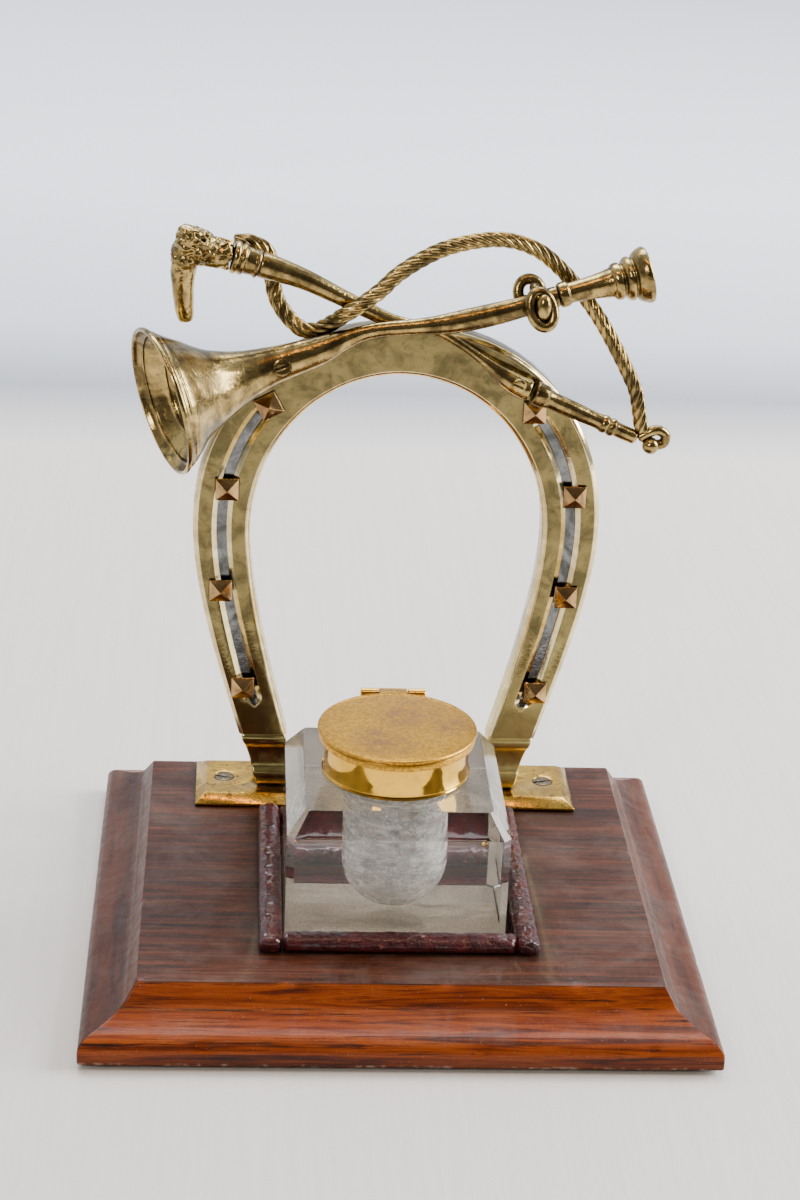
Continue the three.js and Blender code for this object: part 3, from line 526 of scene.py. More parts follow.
DECK_Z = 18.0
POCKET_LOW, POCKET_HIGH, POCKET_FLOOR = (-31.7, -43.4), (31.7, 23.2), 14.2
BASE_PROFILE = [  # inset from the outline, height
    (3.4, 1.2), (0.45, 1.2), (0.12, 1.45), (0.0, 1.9), (0.0, 4.4), (0.12, 5.6), (0.6, 6.8), (1.6, 7.9),
    (3.0, 8.7), (5.4, 9.45), (8.0, 10.5), (10.0, 11.65), (11.3, 12.6), (11.75, 13.1),
    (14.55, 17.7), (14.75, 17.93), (15.1, 18.0),
]
NICKS = [  # x, y, z, depth of each dent in the edges
    (-70, -64.4, 18, 0.5), (-31, -64.4, 18, 0.45), (12, -64.4, 18, 0.4), (47, -64.4, 18, 0.5),
    (-52, -78.9, 6.5, 0.5), (20, -79, 6, 0.45), (66, -78.8, 7, 0.6), (-84.8, 20, 5, 0.6),
    (84.8, -33, 6, 0.5), (70.2, 10, 18, 0.45), (-70.2, -22, 18, 0.4), (30, 79, 6, 0.6),
]
FELT_INSET = 2.9
FELT_LEVELS = [(0.998, 0.0), (1.0, 0.2), (1.002, 0.5), (1.0, 0.8), (0.998, 0.9)]  # share of the outline, height


def rounded_rectangle(low, high, radius, step):
    """Points anticlockwise round a rectangle with rounded corners, about a step apart."""
    corners = [(high[0], low[1], -90), (high[0], high[1], 0), (low[0], high[1], 90), (low[0], low[1], 180)]
    arcs = []
    for x, y, start in corners:
        cx = x - radius if x == high[0] else x + radius
        cy = y - radius if y == high[1] else y + radius
        angles = [math.radians(start + 22.5 * i) for i in range(5)]
        arcs.append([np.array((cx + radius * math.cos(a), cy + radius * math.sin(a))) for a in angles])
    out = []
    counts = [math.ceil((high[axis] - low[axis]) / step) for axis in (1, 0, 1, 0)]
    for arc, following, count in zip(arcs, arcs[1:] + arcs[:1], counts):
        out.extend(arc)
        out.extend(arc[-1] + (following[0] - arc[-1]) * i / count for i in range(1, count))
    return np.array(out)


def build_base():
    half = np.array(BASE_HALF)
    outline = rounded_rectangle(-half, half, 0.6, 1.4)
    rings = np.array([level(outline * (half - inset) / half, z) for inset, z in even(BASE_PROFILE, 1.1)])
    flat = rings.reshape(-1, 3)
    centre = flat * (1, 1, 0)
    out = centre / norm(centre, axis=1)[:, None]
    flat -= out * (0.5 + 0.5 * lumps(flat, 26))[:, None] * 0.12
    for x, y, z, depth in NICKS:
        away = norm((flat - (x, y, z)) * (0.7, 1, 1), axis=1)
        push = depth * np.exp(-(away / 1.3) ** 2)
        flat[:, :2] -= out[:, :2] * push[:, None]
        flat[:, 2] -= push * 0.5
    rings = flat.reshape(rings.shape)

    spread = spread_over(outline, POCKET_LOW, POCKET_HIGH)
    deck = [level(rings[-1][:, :2] * (1 - t) + spread * t, DECK_Z) for t in np.linspace(0, 1, 9)[1:]]
    solid = loft([*rings, *deck, level(spread, POCKET_FLOOR)])
    base = closed_object("wood_base_moulded", [solid], rosewood, 30)
    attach(base, "stand")
    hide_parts("wood_base")

    edge = rounded_rectangle(-half + FELT_INSET, half - FELT_INSET, 1.2, 0.8)
    ragged = edge + rng.normal(0, 0.09, edge.shape)
    sheet = [level(ragged * scale, z) for scale, z in FELT_LEVELS]
    under = closed_object("base_felt_sheet", [loft(sheet)], felt)
    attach(under, "stand")
    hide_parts("base_felt")


def spread_over(outline, low, high):
    """The base's outline mapped onto another rectangle, point for point."""
    share = (np.clip(outline / BASE_HALF, -1, 1) + 1) / 2
    return low + share * np.subtract(high, low)


# ---- leather surround

TRAY = {"half": 38.1, "front": -49.8, "back": 29.6, "width": 6.4, "height": 4.2, "z": 18.3}
PAD_LOW, PAD_HIGH = (-31.3, -43.0), (31.3, 22.8)
ROLL_SIDES, ROLL_STEP, STITCH = 40, 0.45, 1.7


def roll(start, end, name, node, seed, stitched=False):
    """A rolled leather rail between two points on the deck, creased, with pinched ends."""
    start, end = np.array(start, float), np.array(end, float)
    length = norm(end - start)
    along = (end - start) / length
    across = np.array((-along[1], along[0], 0))
    width, height = TRAY["width"], TRAY["height"]
    over, under = height * 0.68, height * 0.32
    angles = around(ROLL_SIDES)
    cosine, sine = np.cos(angles), np.sin(angles)
    wide = np.sign(cosine) * np.abs(cosine) ** 0.75 * width / 2
    high = np.where(sine > 0, np.abs(sine) ** 0.85 * over, -np.abs(sine) ** 0.5 * under)
    top = np.clip(sine + 0.4, 0, 1)
    seam = np.exp(-((angles - TURN * 0.56) / 0.16) ** 2)
    steps = int(length / ROLL_STEP)
    rings = []
    for i in range(steps + 1):
        t = i * length / steps
        near = min(t, length - t)
        pinch = 1 - 0.42 * max(0, 1 - near / 1.5) ** 2
        centre = start + along * t
        points = centre + np.outer(wide * pinch, across)
        points[:, 2] = centre[2] + under + high * (0.55 + 0.45 * pinch)
        wrinkle = lumps(points * (1, 1, 1.4), 3.4, seed) * 0.3 + lumps(points, 1.2, seed + 3) * 0.13
        folds = np.abs(lumps(points * (0.35, 0.9, 1), 2.0, seed + 7))
        push = wrinkle - 0.3 * np.clip(0.14 - folds, 0, 1) / 0.14
        if stitched:
            push = push + seam * (0.16 * abs(math.sin(math.pi * t / STITCH)) - 0.2)
        points += np.outer(push * top * cosine, across) * 0.8
        points[:, 2] += push * top * np.clip(sine, 0, 1)
        points[:, 2] = np.maximum(points[:, 2], centre[2])
        rings.append(points)
    piece = closed_object(name, [loft(rings)], leather, 60)
    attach(piece, "stand")
    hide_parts(node)


def build_surround():
    z, half, wide = TRAY["z"], TRAY["half"], TRAY["width"] / 2
    front, back = TRAY["front"], TRAY["back"]
    roll((-half + wide, back, z), (-half + wide, front, z), "leather_roll_left", "leather_rail_left", 1.3)
    roll((half - wide, front, z), (half - wide, back, z), "leather_roll_right", "leather_rail_right", 4.1)
    reach = half - 2 * wide - 0.15
    roll((-reach, front + wide, z), (reach, front + wide, z), "leather_roll_front", "leather_rail_front", 7.7, True)
    roll((reach, back - wide, z), (-reach, back - wide, z), "leather_roll_back", "leather_rail_back", 11.9)

    outline = rounded_rectangle(PAD_LOW, PAD_HIGH, 1.0, 1.2)
    middle = np.add(PAD_LOW, PAD_HIGH) / 2
    levels = [(1.0, 14.5), (1.0, 14.95)]
    levels += [(1 - 0.018 * k, 15.1 + 0.16 * math.sin(min(k / 3, 1) * math.pi / 2)) for k in range(1, 8)]
    levels += [(0.6, 15.27), (0.3, 15.28), (0.02, 15.28)]
    rings = [level(middle + (outline - middle) * scale, z) for scale, z in levels]
    points = np.array(rings).reshape(-1, 3)
    points[:, 2] += np.where(points[:, 2] > 15, lumps(points, 2.2, 5.0) * 0.04, 0)
    pad = closed_object("tray_pad_leather", [loft(points.reshape(len(rings), -1, 3))], leather, 60)
    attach(pad, "stand")
    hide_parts("tray_pad")


# ---- horseshoe

SHOE = {"front": 42.5, "back": 50.0, "chamfer": 1.3, "toe_z": 38.0}
SHOE_OUTER = (58.8, 105.0, 165.8, 44.2, 2.15)  # half width, height of the waist, top, toe, power of the arch
SHOE_INNER = (42.2, 104.0, 151.2, 30.0, 2.0)
FULLER = {"half": 2.85, "depth": 1.4, "arch": 0.72 / (math.pi / 2), "leg": 0.84}
LEG_STEPS, ARCH_STEPS = 70, 90
# the rubbed slot on the chamfers and the groove's rims is worn brass and partly a painted highlight
RUBBED_AND_HIGHLIT, GROOVE = 1, 2  # material slots, on these columns of the section
EDGE_COLUMNS = dict.fromkeys((3, 4, 5, 6, 7, 19, 20, 21, 22, 23), RUBBED_AND_HIGHLIT)
FULLER_COLUMNS = {10: RUBBED_AND_HIGHLIT, 11: RUBBED_AND_HIGHLIT, 12: GROOVE, 13: GROOVE, 14: GROOVE, 15: RUBBED_AND_HIGHLIT, 16: RUBBED_AND_HIGHLIT}
FOOT_Y = 46.25
FOOT_SECTIONS = [  # height, centre x, half width, half depth
    (21.6, 33.3, 5.2, 3.8), (22.3, 33.5, 5.35, 4.2), (23.6, 33.9, 5.5, 4.5), (25.4, 34.2, 5.6, 4.45),
    (26.4, 34.4, 5.6, 4.2), (27.2, 34.6, 5.55, 3.6), (28.4, 34.9, 5.55, 3.25), (30.4, 35.3, 5.6, 3.1),
    (32.5, 35.8, 5.8, 3.2), (34.4, 36.2, 6.05, 3.65), (35.2, 36.4, 6.3, 4.1), (36.2, 36.6, 6.5, 4.3),
    (37.2, 36.8, 6.6, 4.3), (37.9, 36.9, 6.5, 4.05), (38.6, 37.1, 6.4, 3.5),
]


def shoe_edge(half, waist, top, toe, power):
    """Right half of one edge of the shoe from its toe up to the top: (x, z) points."""
    fall = waist - SHOE["toe_z"]
    a = np.array((half, waist))
    b = np.array((half, waist - 0.3 * fall))
    c = np.array((toe + 0.36 * (half - toe) + 0.5, SHOE["toe_z"] + 0.29 * fall))
    d = np.array((toe, SHOE["toe_z"]))
    leg = [
        a * (1 - t) ** 3 + 3 * b * t * (1 - t) ** 2 + 3 * c * t * t * (1 - t) + d * t ** 3
        for t in np.linspace(1, 0, LEG_STEPS + 1)
    ]
    arch = [
        (half * math.cos(angle) ** (2 / power), waist + (top - waist) * math.sin(angle) ** (2 / power))
        for angle in np.linspace(0, 1, ARCH_STEPS + 1)[1:-1] * math.pi / 2
    ]
    return np.array([*leg, *arch, (0.0, top)])


def shoe_ring(outer, inner, groove):
    """The shoe's section at one station, with its chamfers and the fuller groove."""
    web = norm(inner - outer)
    front, back, ch = SHOE["front"], SHOE["back"], SHOE["chamfer"]
    middle = web / 2
    half, depth = FULLER["half"] * min(1, 0.25 + groove), FULLER["depth"] * groove
    section = [
        (0.35, back - 0.05), (0.1, back - 0.2), (0, back - 0.6), (0, front + ch + 0.2), (0.04, front + ch - 0.02),
        (0.16, front + ch - 0.2), (ch - 0.2, front + 0.14), (ch, front + 0.03), (ch + 0.22, front),
        (middle - half - 0.2, front), (middle - half, front + 0.06 * groove),
        (middle - half + 0.15, front + 0.2 * groove),
        (middle - half * 0.52, front + depth - 0.12 * groove), (middle - half * 0.44, front + depth),
    ]
    section += [(web - o, y) for o, y in section[::-1]]
    way = (inner - outer) / web
    return [(outer[0] + way[0] * o, y, outer[1] + way[1] * o) for o, y in section]


def build_shoe():
    outer, inner = shoe_edge(*SHOE_OUTER), shoe_edge(*SHOE_INNER)
    grooves = []
    for i in range(len(outer)):
        if i <= LEG_STEPS:
            past = (FULLER["leg"] - (1 - i / LEG_STEPS)) * 75
        else:
            past = (FULLER["arch"] - (i - LEG_STEPS) / ARCH_STEPS) * 85
        grooves.append(min(1, max(0, past / 3.2)))
    right = np.array([shoe_ring(*station) for station in zip(outer, inner, grooves)])
    rings = np.concatenate([right, right[-2::-1] * (-1, 1, 1)])
    points = rings.reshape(-1, 3)
    points[:, 1] += lumps(points, 14, 2.0) * 0.06
    islands = [loft(points.reshape(rings.shape))]
    fine = through(FOOT_SECTIONS, 5)
    corner = rounded_rectangle((-1, -1), (1, 1), 0.12, 0.5)
    for side in (-1, 1):
        islands.append(loft([
            level((x, FOOT_Y) + corner * (half, deep), z) * (side, 1, 1) for z, x, half, deep in fine
        ]))
    shoe = closed_object("horseshoe_cast", islands, brass["shoe"], 24)
    shoe.data.materials.append(brass["rubbed"])
    shoe.data.materials.append(brass["groove"])
    opened = grooves + grooves[-2::-1]
    count = rings.shape[1]
    for polygon in list(shoe.data.polygons)[:(len(rings) - 1) * count]:
        station, column = divmod(polygon.index, count)
        finish = EDGE_COLUMNS.get(column, 0)
        if opened[station] > 0.05:
            finish = max(finish, FULLER_COLUMNS.get(column, 0))
        polygon.material_index = finish
    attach(shoe, "stand")
    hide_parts("horseshoe")


# ---- trophy

HORN_LINE = [
    (-67.6, 20.9, 149.3), (-65.8, 21.6, 149.7), (-61.3, 23.5, 150.7), (-54, 26.4, 152.1), (-44.2, 29.5, 154.9),
    (-37.9, 31, 156.9), (-29.7, 32.6, 159.3), (-24.2, 33.4, 161.1), (-18.7, 34.1, 163.6), (-13.2, 34.6, 165.8),
    (-7.7, 35, 167), (2, 35.6, 167.9), (10.3, 36.2, 168.8), (20, 36.8, 170.8), (29.7, 37.5, 173.3),
    (44.3, 38.8, 177.8), (65.7, 41.3, 183),
]
BELL_OUTSIDE = [
    (0.1, 20.92), (0.7, 20.85), (1.15, 20.5), (1.4, 20.05), (1.9, 19.75), (2.3, 19.6), (2.6, 19.25), (3.4, 18.75),
    (5.8, 16.9), (10.6, 13.3), (15.8, 10.5), (21.3, 8.2), (27, 6.5), (34.2, 5.2), (42.8, 4.4), (48.6, 3.8),
    (54.9, 2.75), (60.7, 2.15), (69, 2.1), (76.2, 2.3), (84.6, 2.95), (92, 3.2), (104.5, 3), (114.9, 3),
]
BELL_INSIDE = [
    (28, 2.8), (24, 5.2), (21.3, 7.1), (15.8, 9.5), (10.6, 12.3), (7.6, 14.4), (7.2, 14.3), (6.8, 14.6), (6.5, 15.2),
    (5.8, 15.9), (4.0, 17.2), (2.9, 18.1), (2.6, 18.0), (2.2, 18.15), (1.9, 18.7), (1.0, 19.3), (0.2, 19.65),
    (-0.25, 19.9), (-0.42, 20.3), (-0.3, 20.7),
]
MOUTHPIECE = [
    (115.3, 3.1), (115.6, 3.45), (116.0, 3.6), (117.6, 3.6), (118.0, 3.45), (118.4, 3.1), (119.3, 2.95), (125.6, 3.35),
    (129.6, 4.0), (130.8, 4.35), (131.2, 4.9), (131.8, 5.2), (132.7, 5.3), (133.3, 5.1), (133.6, 4.7), (134.0, 4.75),
    (134.4, 5.5), (135.0, 6.05), (135.9, 6.3), (136.4, 6.1), (136.7, 5.7), (137.1, 5.8), (137.6, 6.6), (138.6, 7.3),
    (140.0, 7.95), (140.8, 8.0), (141.3, 7.75), (141.45, 7.3), (141.2, 6.6), (140.2, 4.6), (138.6, 2.4),
]
KNOT_DISTANCE = 109.6

HOOK_LINE = [
    (-61.3, 38.6, 166.6), (-61.9, 38.6, 171.5), (-62.3, 38.6, 178.6), (-61.9, 38.6, 183.8), (-60.6, 38.6, 188.6),
]
HOOK_PROFILE = [(0.1, 1.1), (0.5, 1.75), (1.2, 2.15), (2.6, 2.45), (6, 2.8), (11.6, 3.2), (17, 3.8), (21.6, 4.5)]
CROP_LINE = [
    (-60.2, 38.6, 188.7), (-54.5, 38.6, 186.9), (-49.8, 38.6, 186), (-41.2, 38.8, 183.7), (-30.2, 38.9, 180.2),
    (-18.9, 39.4, 174.9), (-9.8, 40, 170.4), (-4, 40.1, 168), (1.2, 40.2, 167), (5.5, 40.2, 166.4),
    (9.5, 40.1, 165.2), (12.8, 40, 163.4), (18.1, 39.9, 160.1), (23.9, 39.5, 156), (28.3, 39, 152.8),
    (32.4, 38.8, 150.4), (36, 38.7, 148.9),
]
NECK_PROFILE = [(0, 4.7), (3.4, 5), (6.2, 4.35), (9, 3.9), (10.8, 4.1), (11.5, 4.0)]
COLLAR_PROFILE = [
    (11.8, 3.9), (12.0, 4.4), (12.4, 4.62), (13.1, 4.62), (13.5, 4.35), (13.75, 4.05), (14.0, 4.1), (14.3, 4.45),
    (14.8, 4.5), (15.2, 4.3), (15.5, 3.95), (16.5, 3.8), (18.2, 3.75), (18.45, 3.95), (18.8, 4.2), (19.1, 4.15),
    (19.4, 3.9), (19.55, 3.5),
]
STOCK_PROFILE = [
    (19.8, 3.5), (20.2, 3.62), (31.6, 2.98), (44, 2.42), (54.2, 2.2), (60.4, 2.05), (66, 1.65), (70.3, 1.35),
    (78.5, 1.2), (84.7, 1.2), (91.8, 1.85), (97.3, 2.8), (102, 3.1), (104.2, 3.1), (104.6, 2.8),
]
TIP_LINE = [(35.4, 38.6, 149.3), (66.5, 38.6, 136)]
TIP_PROFILE = [
    (1.4, 2.9), (1.7, 3.3), (2.4, 3.45), (4.6, 3.45), (5.3, 3.2), (6, 2.75), (14, 2.5), (22.7, 2.3), (22.95, 2.45),
    (23.4, 2.62), (24.3, 2.62), (24.7, 2.45), (25.0, 2.22), (25.3, 2.3), (25.6, 2.5), (26.1, 2.66), (26.7, 2.6),
    (27.1, 2.35), (27.4, 2.2), (30.5, 2.15), (33.4, 2.0), (33.9, 1.7),
]
KEEPER_LINE = [
    (67.3, 38.6, 135.7), (69.8, 38.6, 137.3), (72.6, 38.6, 138.4), (75, 38.6, 137), (74.6, 38.6, 134.6),
    (72, 38.6, 133.9),
]
LASH_LINE = [
    (68.4, 38.7, 137.4), (67.6, 38.8, 140.6), (65.7, 39.4, 149.4), (63.2, 40.4, 154.7), (60.4, 41.8, 159.7),
    (54.5, 44.4, 169.1), (48.5, 45.6, 176.7), (42.7, 46, 182.8), (36.2, 46, 187.8), (28.1, 45.4, 190.6),
    (19.6, 44.4, 190.6), (8.4, 42.2, 188), (-2.6, 39.2, 182.1), (-8, 37, 177.5), (-13.5, 34.9, 173.8),
    (-17.6, 35.2, 171), (-21.6, 37.2, 167.6), (-25.3, 38.8, 165.2), (-28.9, 39.9, 165), (-32, 41.2, 167),
    (-34.5, 43, 169.5), (-36.5, 44.8, 172.7), (-37.5, 46, 176.6), (-38.1, 46.2, 181.7), (-39.6, 45.8, 185.5),
    (-42.2, 45.5, 187.3), (-45.5, 45.4, 188.1), (-48.4, 45, 187.7),
]
LASH_STRANDS, LASH_LAY, LASH_STEP = 6, 19.0, 0.4
BOSS_FALL, BOSS_SEAT = 0.31, np.array((-34.7, 26.6, 158.0))


def trophy_piece(name, islands, *nodes, crease=38):
    piece = closed_object(name, islands, brass["trophy"], crease)
    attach(piece, "stand")
    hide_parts(*nodes)


def rod(a, b, radius):
    return sweep(Path([a, b]), [(0, radius), (norm(b - a), radius)], 32)


def knot_loop(centre, radius, stretch, lean, bar, lobes):
    """An oval loop of the cast knot, facing forward and a little up."""
    tilt = math.pi / 2 - 0.35
    loop = []
    for angle in around(72):
        x, y = radius * math.cos(angle), radius * stretch * math.sin(angle)
        x, y = x * math.cos(lean) - y * math.sin(lean), x * math.sin(lean) + y * math.cos(lean)
        loop.append((centre[0] + x, centre[1] + y * math.cos(tilt), centre[2] + y * math.sin(tilt)))
    return ring_bar(loop, bar, lobes, 7)


def build_horn():
    line = Path(HORN_LINE)
    fine = np.vstack([through(BELL_INSIDE, 4), through(BELL_OUTSIDE, 6)])
    shell = sweep(line, fine, 96)
    points = np.array(shell[0])
    flare = np.clip((-30 - points[:, 0]) / 25, 0, 1)
    points += (lumps(points, 7, 3.0) * 0.07 * flare)[:, None] * (0.2, 1, 0.6)
    axis = np.array((0, math.cos(BOSS_FALL), -math.sin(BOSS_FALL)))
    boss = rod(BOSS_SEAT + axis * 0.35, BOSS_SEAT + axis * 11, 2.75)
    trophy_piece("horn_bell_cast", [(points, shell[1]), boss], "horn_bell")
    trophy_piece("horn_mouthpiece_cast", [sweep(line, through(MOUTHPIECE, 4), 64)], "horn_mouthpiece", crease=50)

    centre, _, side, up = line.at(KNOT_DISTANCE)
    knot = [
        ring_bar([centre + 4.3 * (side * math.cos(a) + up * math.sin(a)) for a in around(60)], 1.4, 3, 6),
        knot_loop((33.9, 41.2, 177.2), 3.2, 1.15, 0.2, 1.6, 0),
        knot_loop((36.8, 33.4, 174.5), 3.1, 1.6, 0.3, 1.55, 0),
        ball((37.2, 32.9, 175.0), 2.3, (1, 1, 1.75)),
    ]
    trophy_piece("horn_knot_cast", knot, "horn_knot", crease=60)


def horn_texture(points, normals):
    """Lumps, ridges and pits of stag horn, rough on the knob and smoother down the hook."""
    rough = np.clip((points[:, 2] - 178) / 8, 0.1, 1)
    height = lumps(points, 3.4, 1.0) * 0.7 + lumps(points, 1.7, 4.0) * 0.4
    ridges = 1 - np.abs(lumps(points * (0.6, 1, 1.2), 2.6, 9.0)) * 3
    height += np.clip(ridges, 0, 1) * 0.35 - 0.2
    pits = np.clip(lumps(points, 1.3, 12.0) - 0.22, 0, 1)
    return points + normals * ((height - pits * 1.8) * rough)[:, None]


def build_crop():
    line = Path(CROP_LINE)
    handle = closed_object(
        "crop_handle_staghorn",
        [
            sweep(Path(HOOK_LINE), through(HOOK_PROFILE, 5), 40),
            ball((-60.2, 38.6, 189.2), 4.9, rings=24, sides=40),
            sweep(line, through(NECK_PROFILE, 6), 40),
        ],
        brass["trophy"], 70,
    )
    merge = handle.modifiers.new("merge", "REMESH")
    merge.mode, merge.voxel_size = "VOXEL", 0.24 * MM
    smooth = handle.modifiers.new("smooth", "SMOOTH")
    smooth.factor, smooth.iterations = 0.5, 8
    shaped = bpy.data.meshes.new_from_object(handle.evaluated_get(bpy.context.evaluated_depsgraph_get()))
    handle.modifiers.clear()
    points, normals = np.zeros(len(shaped.vertices) * 3), np.zeros(len(shaped.vertices) * 3)
    shaped.vertices.foreach_get("co", points)
    shaped.vertices.foreach_get("normal", normals)
    moved = horn_texture(points.reshape(-1, 3) / MM, normals.reshape(-1, 3)) * MM
    shaped.vertices.foreach_set("co", moved.ravel())
    shaped.shade_smooth()
    handle.data = shaped
    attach(handle, "stand")
    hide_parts("crop_handle")

    trophy_piece("crop_collar_turned", [sweep(line, through(COLLAR_PROFILE, 4), 64)], "crop_collar", crease=60)

    def leaf(angles, distance):
        """Flattened under the horn, with a hollow in the front of the leaf above the screw."""
        amount = np.clip((distance - 74) / 8, 0, 1) * np.clip((101 - distance) / 5, 0, 1)
        front = np.exp(-((((angles - 3.9 + math.pi) % TURN) - math.pi) / 0.55) ** 2)
        return 1 - 0.38 * amount * front

    stock = sweep(line, through(STOCK_PROFILE, 6), 48, leaf)
    trophy_piece("crop_stock_cast", [stock], "crop_stock", crease=55)
    trophy_piece("crop_tip_turned", [sweep(Path(TIP_LINE), through(TIP_PROFILE, 4), 56)], "crop_tip", crease=60)
    keeper = Path(KEEPER_LINE)
    strap = [(t, 1.5 * min(1, 0.5 + 1.2 * min(t, keeper.length - t))) for t in np.linspace(0, keeper.length, 48)]
    trophy_piece(
        "crop_keeper_cast",
        [sweep(keeper, strap, 24), ball((70.9, 37.8, 134.0), 2.45)],
        "crop_keeper",
    )


def build_lash():
    line = Path(LASH_LINE)
    count = int(line.length / LASH_STEP)
    profile = []
    for i in range(count + 1):
        t = i * line.length / count
        end = min(1, 0.6 + min(t, line.length - t) * 0.8)
        profile.append((t, (2.12 + 0.3 * i / count) * end))

    def strands(angles, distance):
        return cord_section(angles, -TURN * distance / LASH_LAY, LASH_STRANDS)

    rope = sweep(line, profile, LASH_STRANDS * 9, strands)
    trophy_piece("lash_rope_cast", [rope], "lash_rope", crease=75)


# ---- ink bottle

BOTTLE = {
    "x": -1.0, "y": -13.0, "half": 30.1, "bottom": 15.6, "shoulder": 49.3, "top": 55.6, "inset": 4.9, "corner": 2.0,
}
NECK = {"radius": 17.2, "throat": 13.0, "top": 66.4}
WELL = {"radius": 14.5, "bottom": 19.8}
CLOUDED, SCUFFED = 1, 2  # material slots
COLLAR_BAND = [
    (17.65, 56.0), (20.25, 55.9), (20.5, 56.05), (20.55, 56.35), (20.4, 56.65), (20.12, 56.8), (20.0, 57.2),
    (20.0, 62.2), (20.1, 64.6), (20.25, 66.9), (20.1, 67.15), (17.8, 67.2), (17.65, 67.0),
]
LID_SKIRT = [
    (0.2, 67.5), (20.75, 67.5), (20.8, 67.3), (20.8, 65.5), (20.95, 65.4), (21.35, 65.4), (21.5, 65.55), (21.5, 67.0),
    (21.35, 67.2), (21.4, 67.35), (21.75, 67.5), (21.92, 67.8), (21.95, 68.15), (21.8, 68.45), (21.5, 68.6),
    (21.1, 68.62), (20.95, 68.5), (20.75, 68.42), (20.5, 68.5), (20.2, 68.56), (12, 68.6), (0.2, 68.62),
]
HINGE = {"y": 11.3, "z": 67.0, "barrel": 1.6, "half": 9.2, "knuckle": 4.0}


def box_island(low, high, bevel=0.25):
    """A block with cut edges, as a small stack of rectangles."""
    low, high = np.array(low, float), np.array(high, float)
    levels = [(bevel, low[2]), (0, low[2] + bevel), (0, high[2] - bevel), (bevel, high[2])]
    return loft([level(rounded_rectangle(low[:2] + cut, high[:2] - cut, bevel, 50), z) for cut, z in levels])


def bottle_square(half, corner, z):
    """A square with cut corners, evenly divided, anticlockwise from its front right corner."""
    edge = half - corner
    marks = np.array([
        (edge, -half), (half, -edge), (half, edge), (edge, half), (-edge, half), (-half, edge), (-half, -edge),
        (-edge, -half),
    ])
    points = []
    for i, (mark, following) in enumerate(zip(marks, np.roll(marks, -1, axis=0))):
        count = 18 if i % 2 else 6
        points.extend(mark + (following - mark) * k / count for k in range(count))
    return level(np.array(points) + (BOTTLE["x"], BOTTLE["y"]), z)


def build_bottle():
    x, y, half, cut = BOTTLE["x"], BOTTLE["y"], BOTTLE["half"], BOTTLE["corner"]
    bottom, shoulder, top, top_half = BOTTLE["bottom"], BOTTLE["shoulder"], BOTTLE["top"], half - BOTTLE["inset"]
    walls = [(half - 0.35, cut, bottom), (half, cut, bottom + 0.35)]
    walls += [(half, cut, z) for z in (22, 30, 40)]
    walls += [(half, cut, shoulder - 0.12), (half - 0.12, cut, shoulder + 0.12)]
    walls += [(top_half + 0.12, cut / 2, top - 0.14), (top_half - 0.12, cut / 2, top)]
    rings = [bottle_square(*wall) for wall in walls]
    flat = rings[-1][:, :2] - (x, y)
    angles = np.arctan2(flat[:, 1], flat[:, 0])
    outside, inside, lip = NECK["radius"], NECK["throat"], NECK["top"]
    neck = [
        (outside + 0.25, top), (outside, top + 0.25), (outside, lip - 0.4), (outside - 0.4, lip),
        (inside + 0.4, lip), (inside, lip - 0.4),
    ]
    throat = [(inside, 60.0), (inside, 56.6), (13.15, 55.4), (13.6, 54.0), (14.15, 52.6), (14.5, 50.9)]
    well = WELL["radius"]
    throat += [(well, z) for z in (47, 43, 39)]
    centre_z = WELL["bottom"] + well
    throat += [
        (well * math.cos(a), centre_z - well * math.sin(a)) for a in np.linspace(0, math.pi / 2 - 0.02, 14)
    ]
    rings += [level(circle(x, y, radius, angles), z) for radius, z in neck + throat]
    bottle = closed_object("ink_bottle_cut_glass", [loft(rings)], glass, 22)
    bottle.data.materials.append(clouded)
    bottle.data.materials.append(scuffed)
    for polygon in bottle.data.polygons:
        middle = np.array(polygon.center) / MM - (x, y, 0)
        within = math.hypot(middle[0], middle[1]) < inside + 1.6
        if within and WELL["bottom"] - 0.1 < middle[2] < lip - 0.6:
            polygon.material_index = CLOUDED
        elif middle[2] < bottom + 0.1:
            polygon.material_index = SCUFFED
    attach(bottle, "bottle")
    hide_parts("ink_bottle")


def build_fittings():
    x, y = BOTTLE["x"], BOTTLE["y"]
    hy, hz, barrel = HINGE["y"], HINGE["z"], HINGE["barrel"]
    left, right, knuckle = x - HINGE["half"], x + HINGE["half"], HINGE["knuckle"]
    back = hy + barrel
    islands = [
        turned(even(COLLAR_BAND, 3), x, y, 120, closed=True),
        box_island((left, y + 19.4, 62.6), (right, back, hz - barrel - 0.3)),
    ]
    for x0, x1 in ((left, x - knuckle - 0.3), (x + knuckle + 0.3, right)):
        islands.append(knuckle_rod(x0, x1))
        islands.append(box_island((x0, hy - 0.6, 64), (x1, back, hz)))
    collar = closed_object("bottle_collar_turned", islands, brass["collar"], 30)
    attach(collar, "bottle")
    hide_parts("bottle_collar")

    lid = closed_object(
        "lid_turned",
        [
            turned(LID_SKIRT, x, y, 128),
            knuckle_rod(x - knuckle, x + knuckle),
            box_island((x - knuckle, y + 20.8, 67.5), (x + knuckle, hy, 68.6)),
        ],
        lid_brass, 40,
    )
    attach(lid, "lid")
    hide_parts("lid")


def knuckle_rod(x0, x1):
    """A hinge knuckle with eased ends, bored for the pin."""
    hy, hz, barrel, bore = HINGE["y"], HINGE["z"], HINGE["barrel"], 0.9
    profile = [(x0, bore), (x0, barrel - 0.2), (x0 + 0.2, barrel), (x1 - 0.2, barrel), (x1, barrel - 0.2), (x1, bore)]
    rings = [np.column_stack([np.full(32, px), circle(hy, hz, radius, around(32))]) for px, radius in profile]
    return loft(rings, closed=True)


# ---- CAD nodes that stay

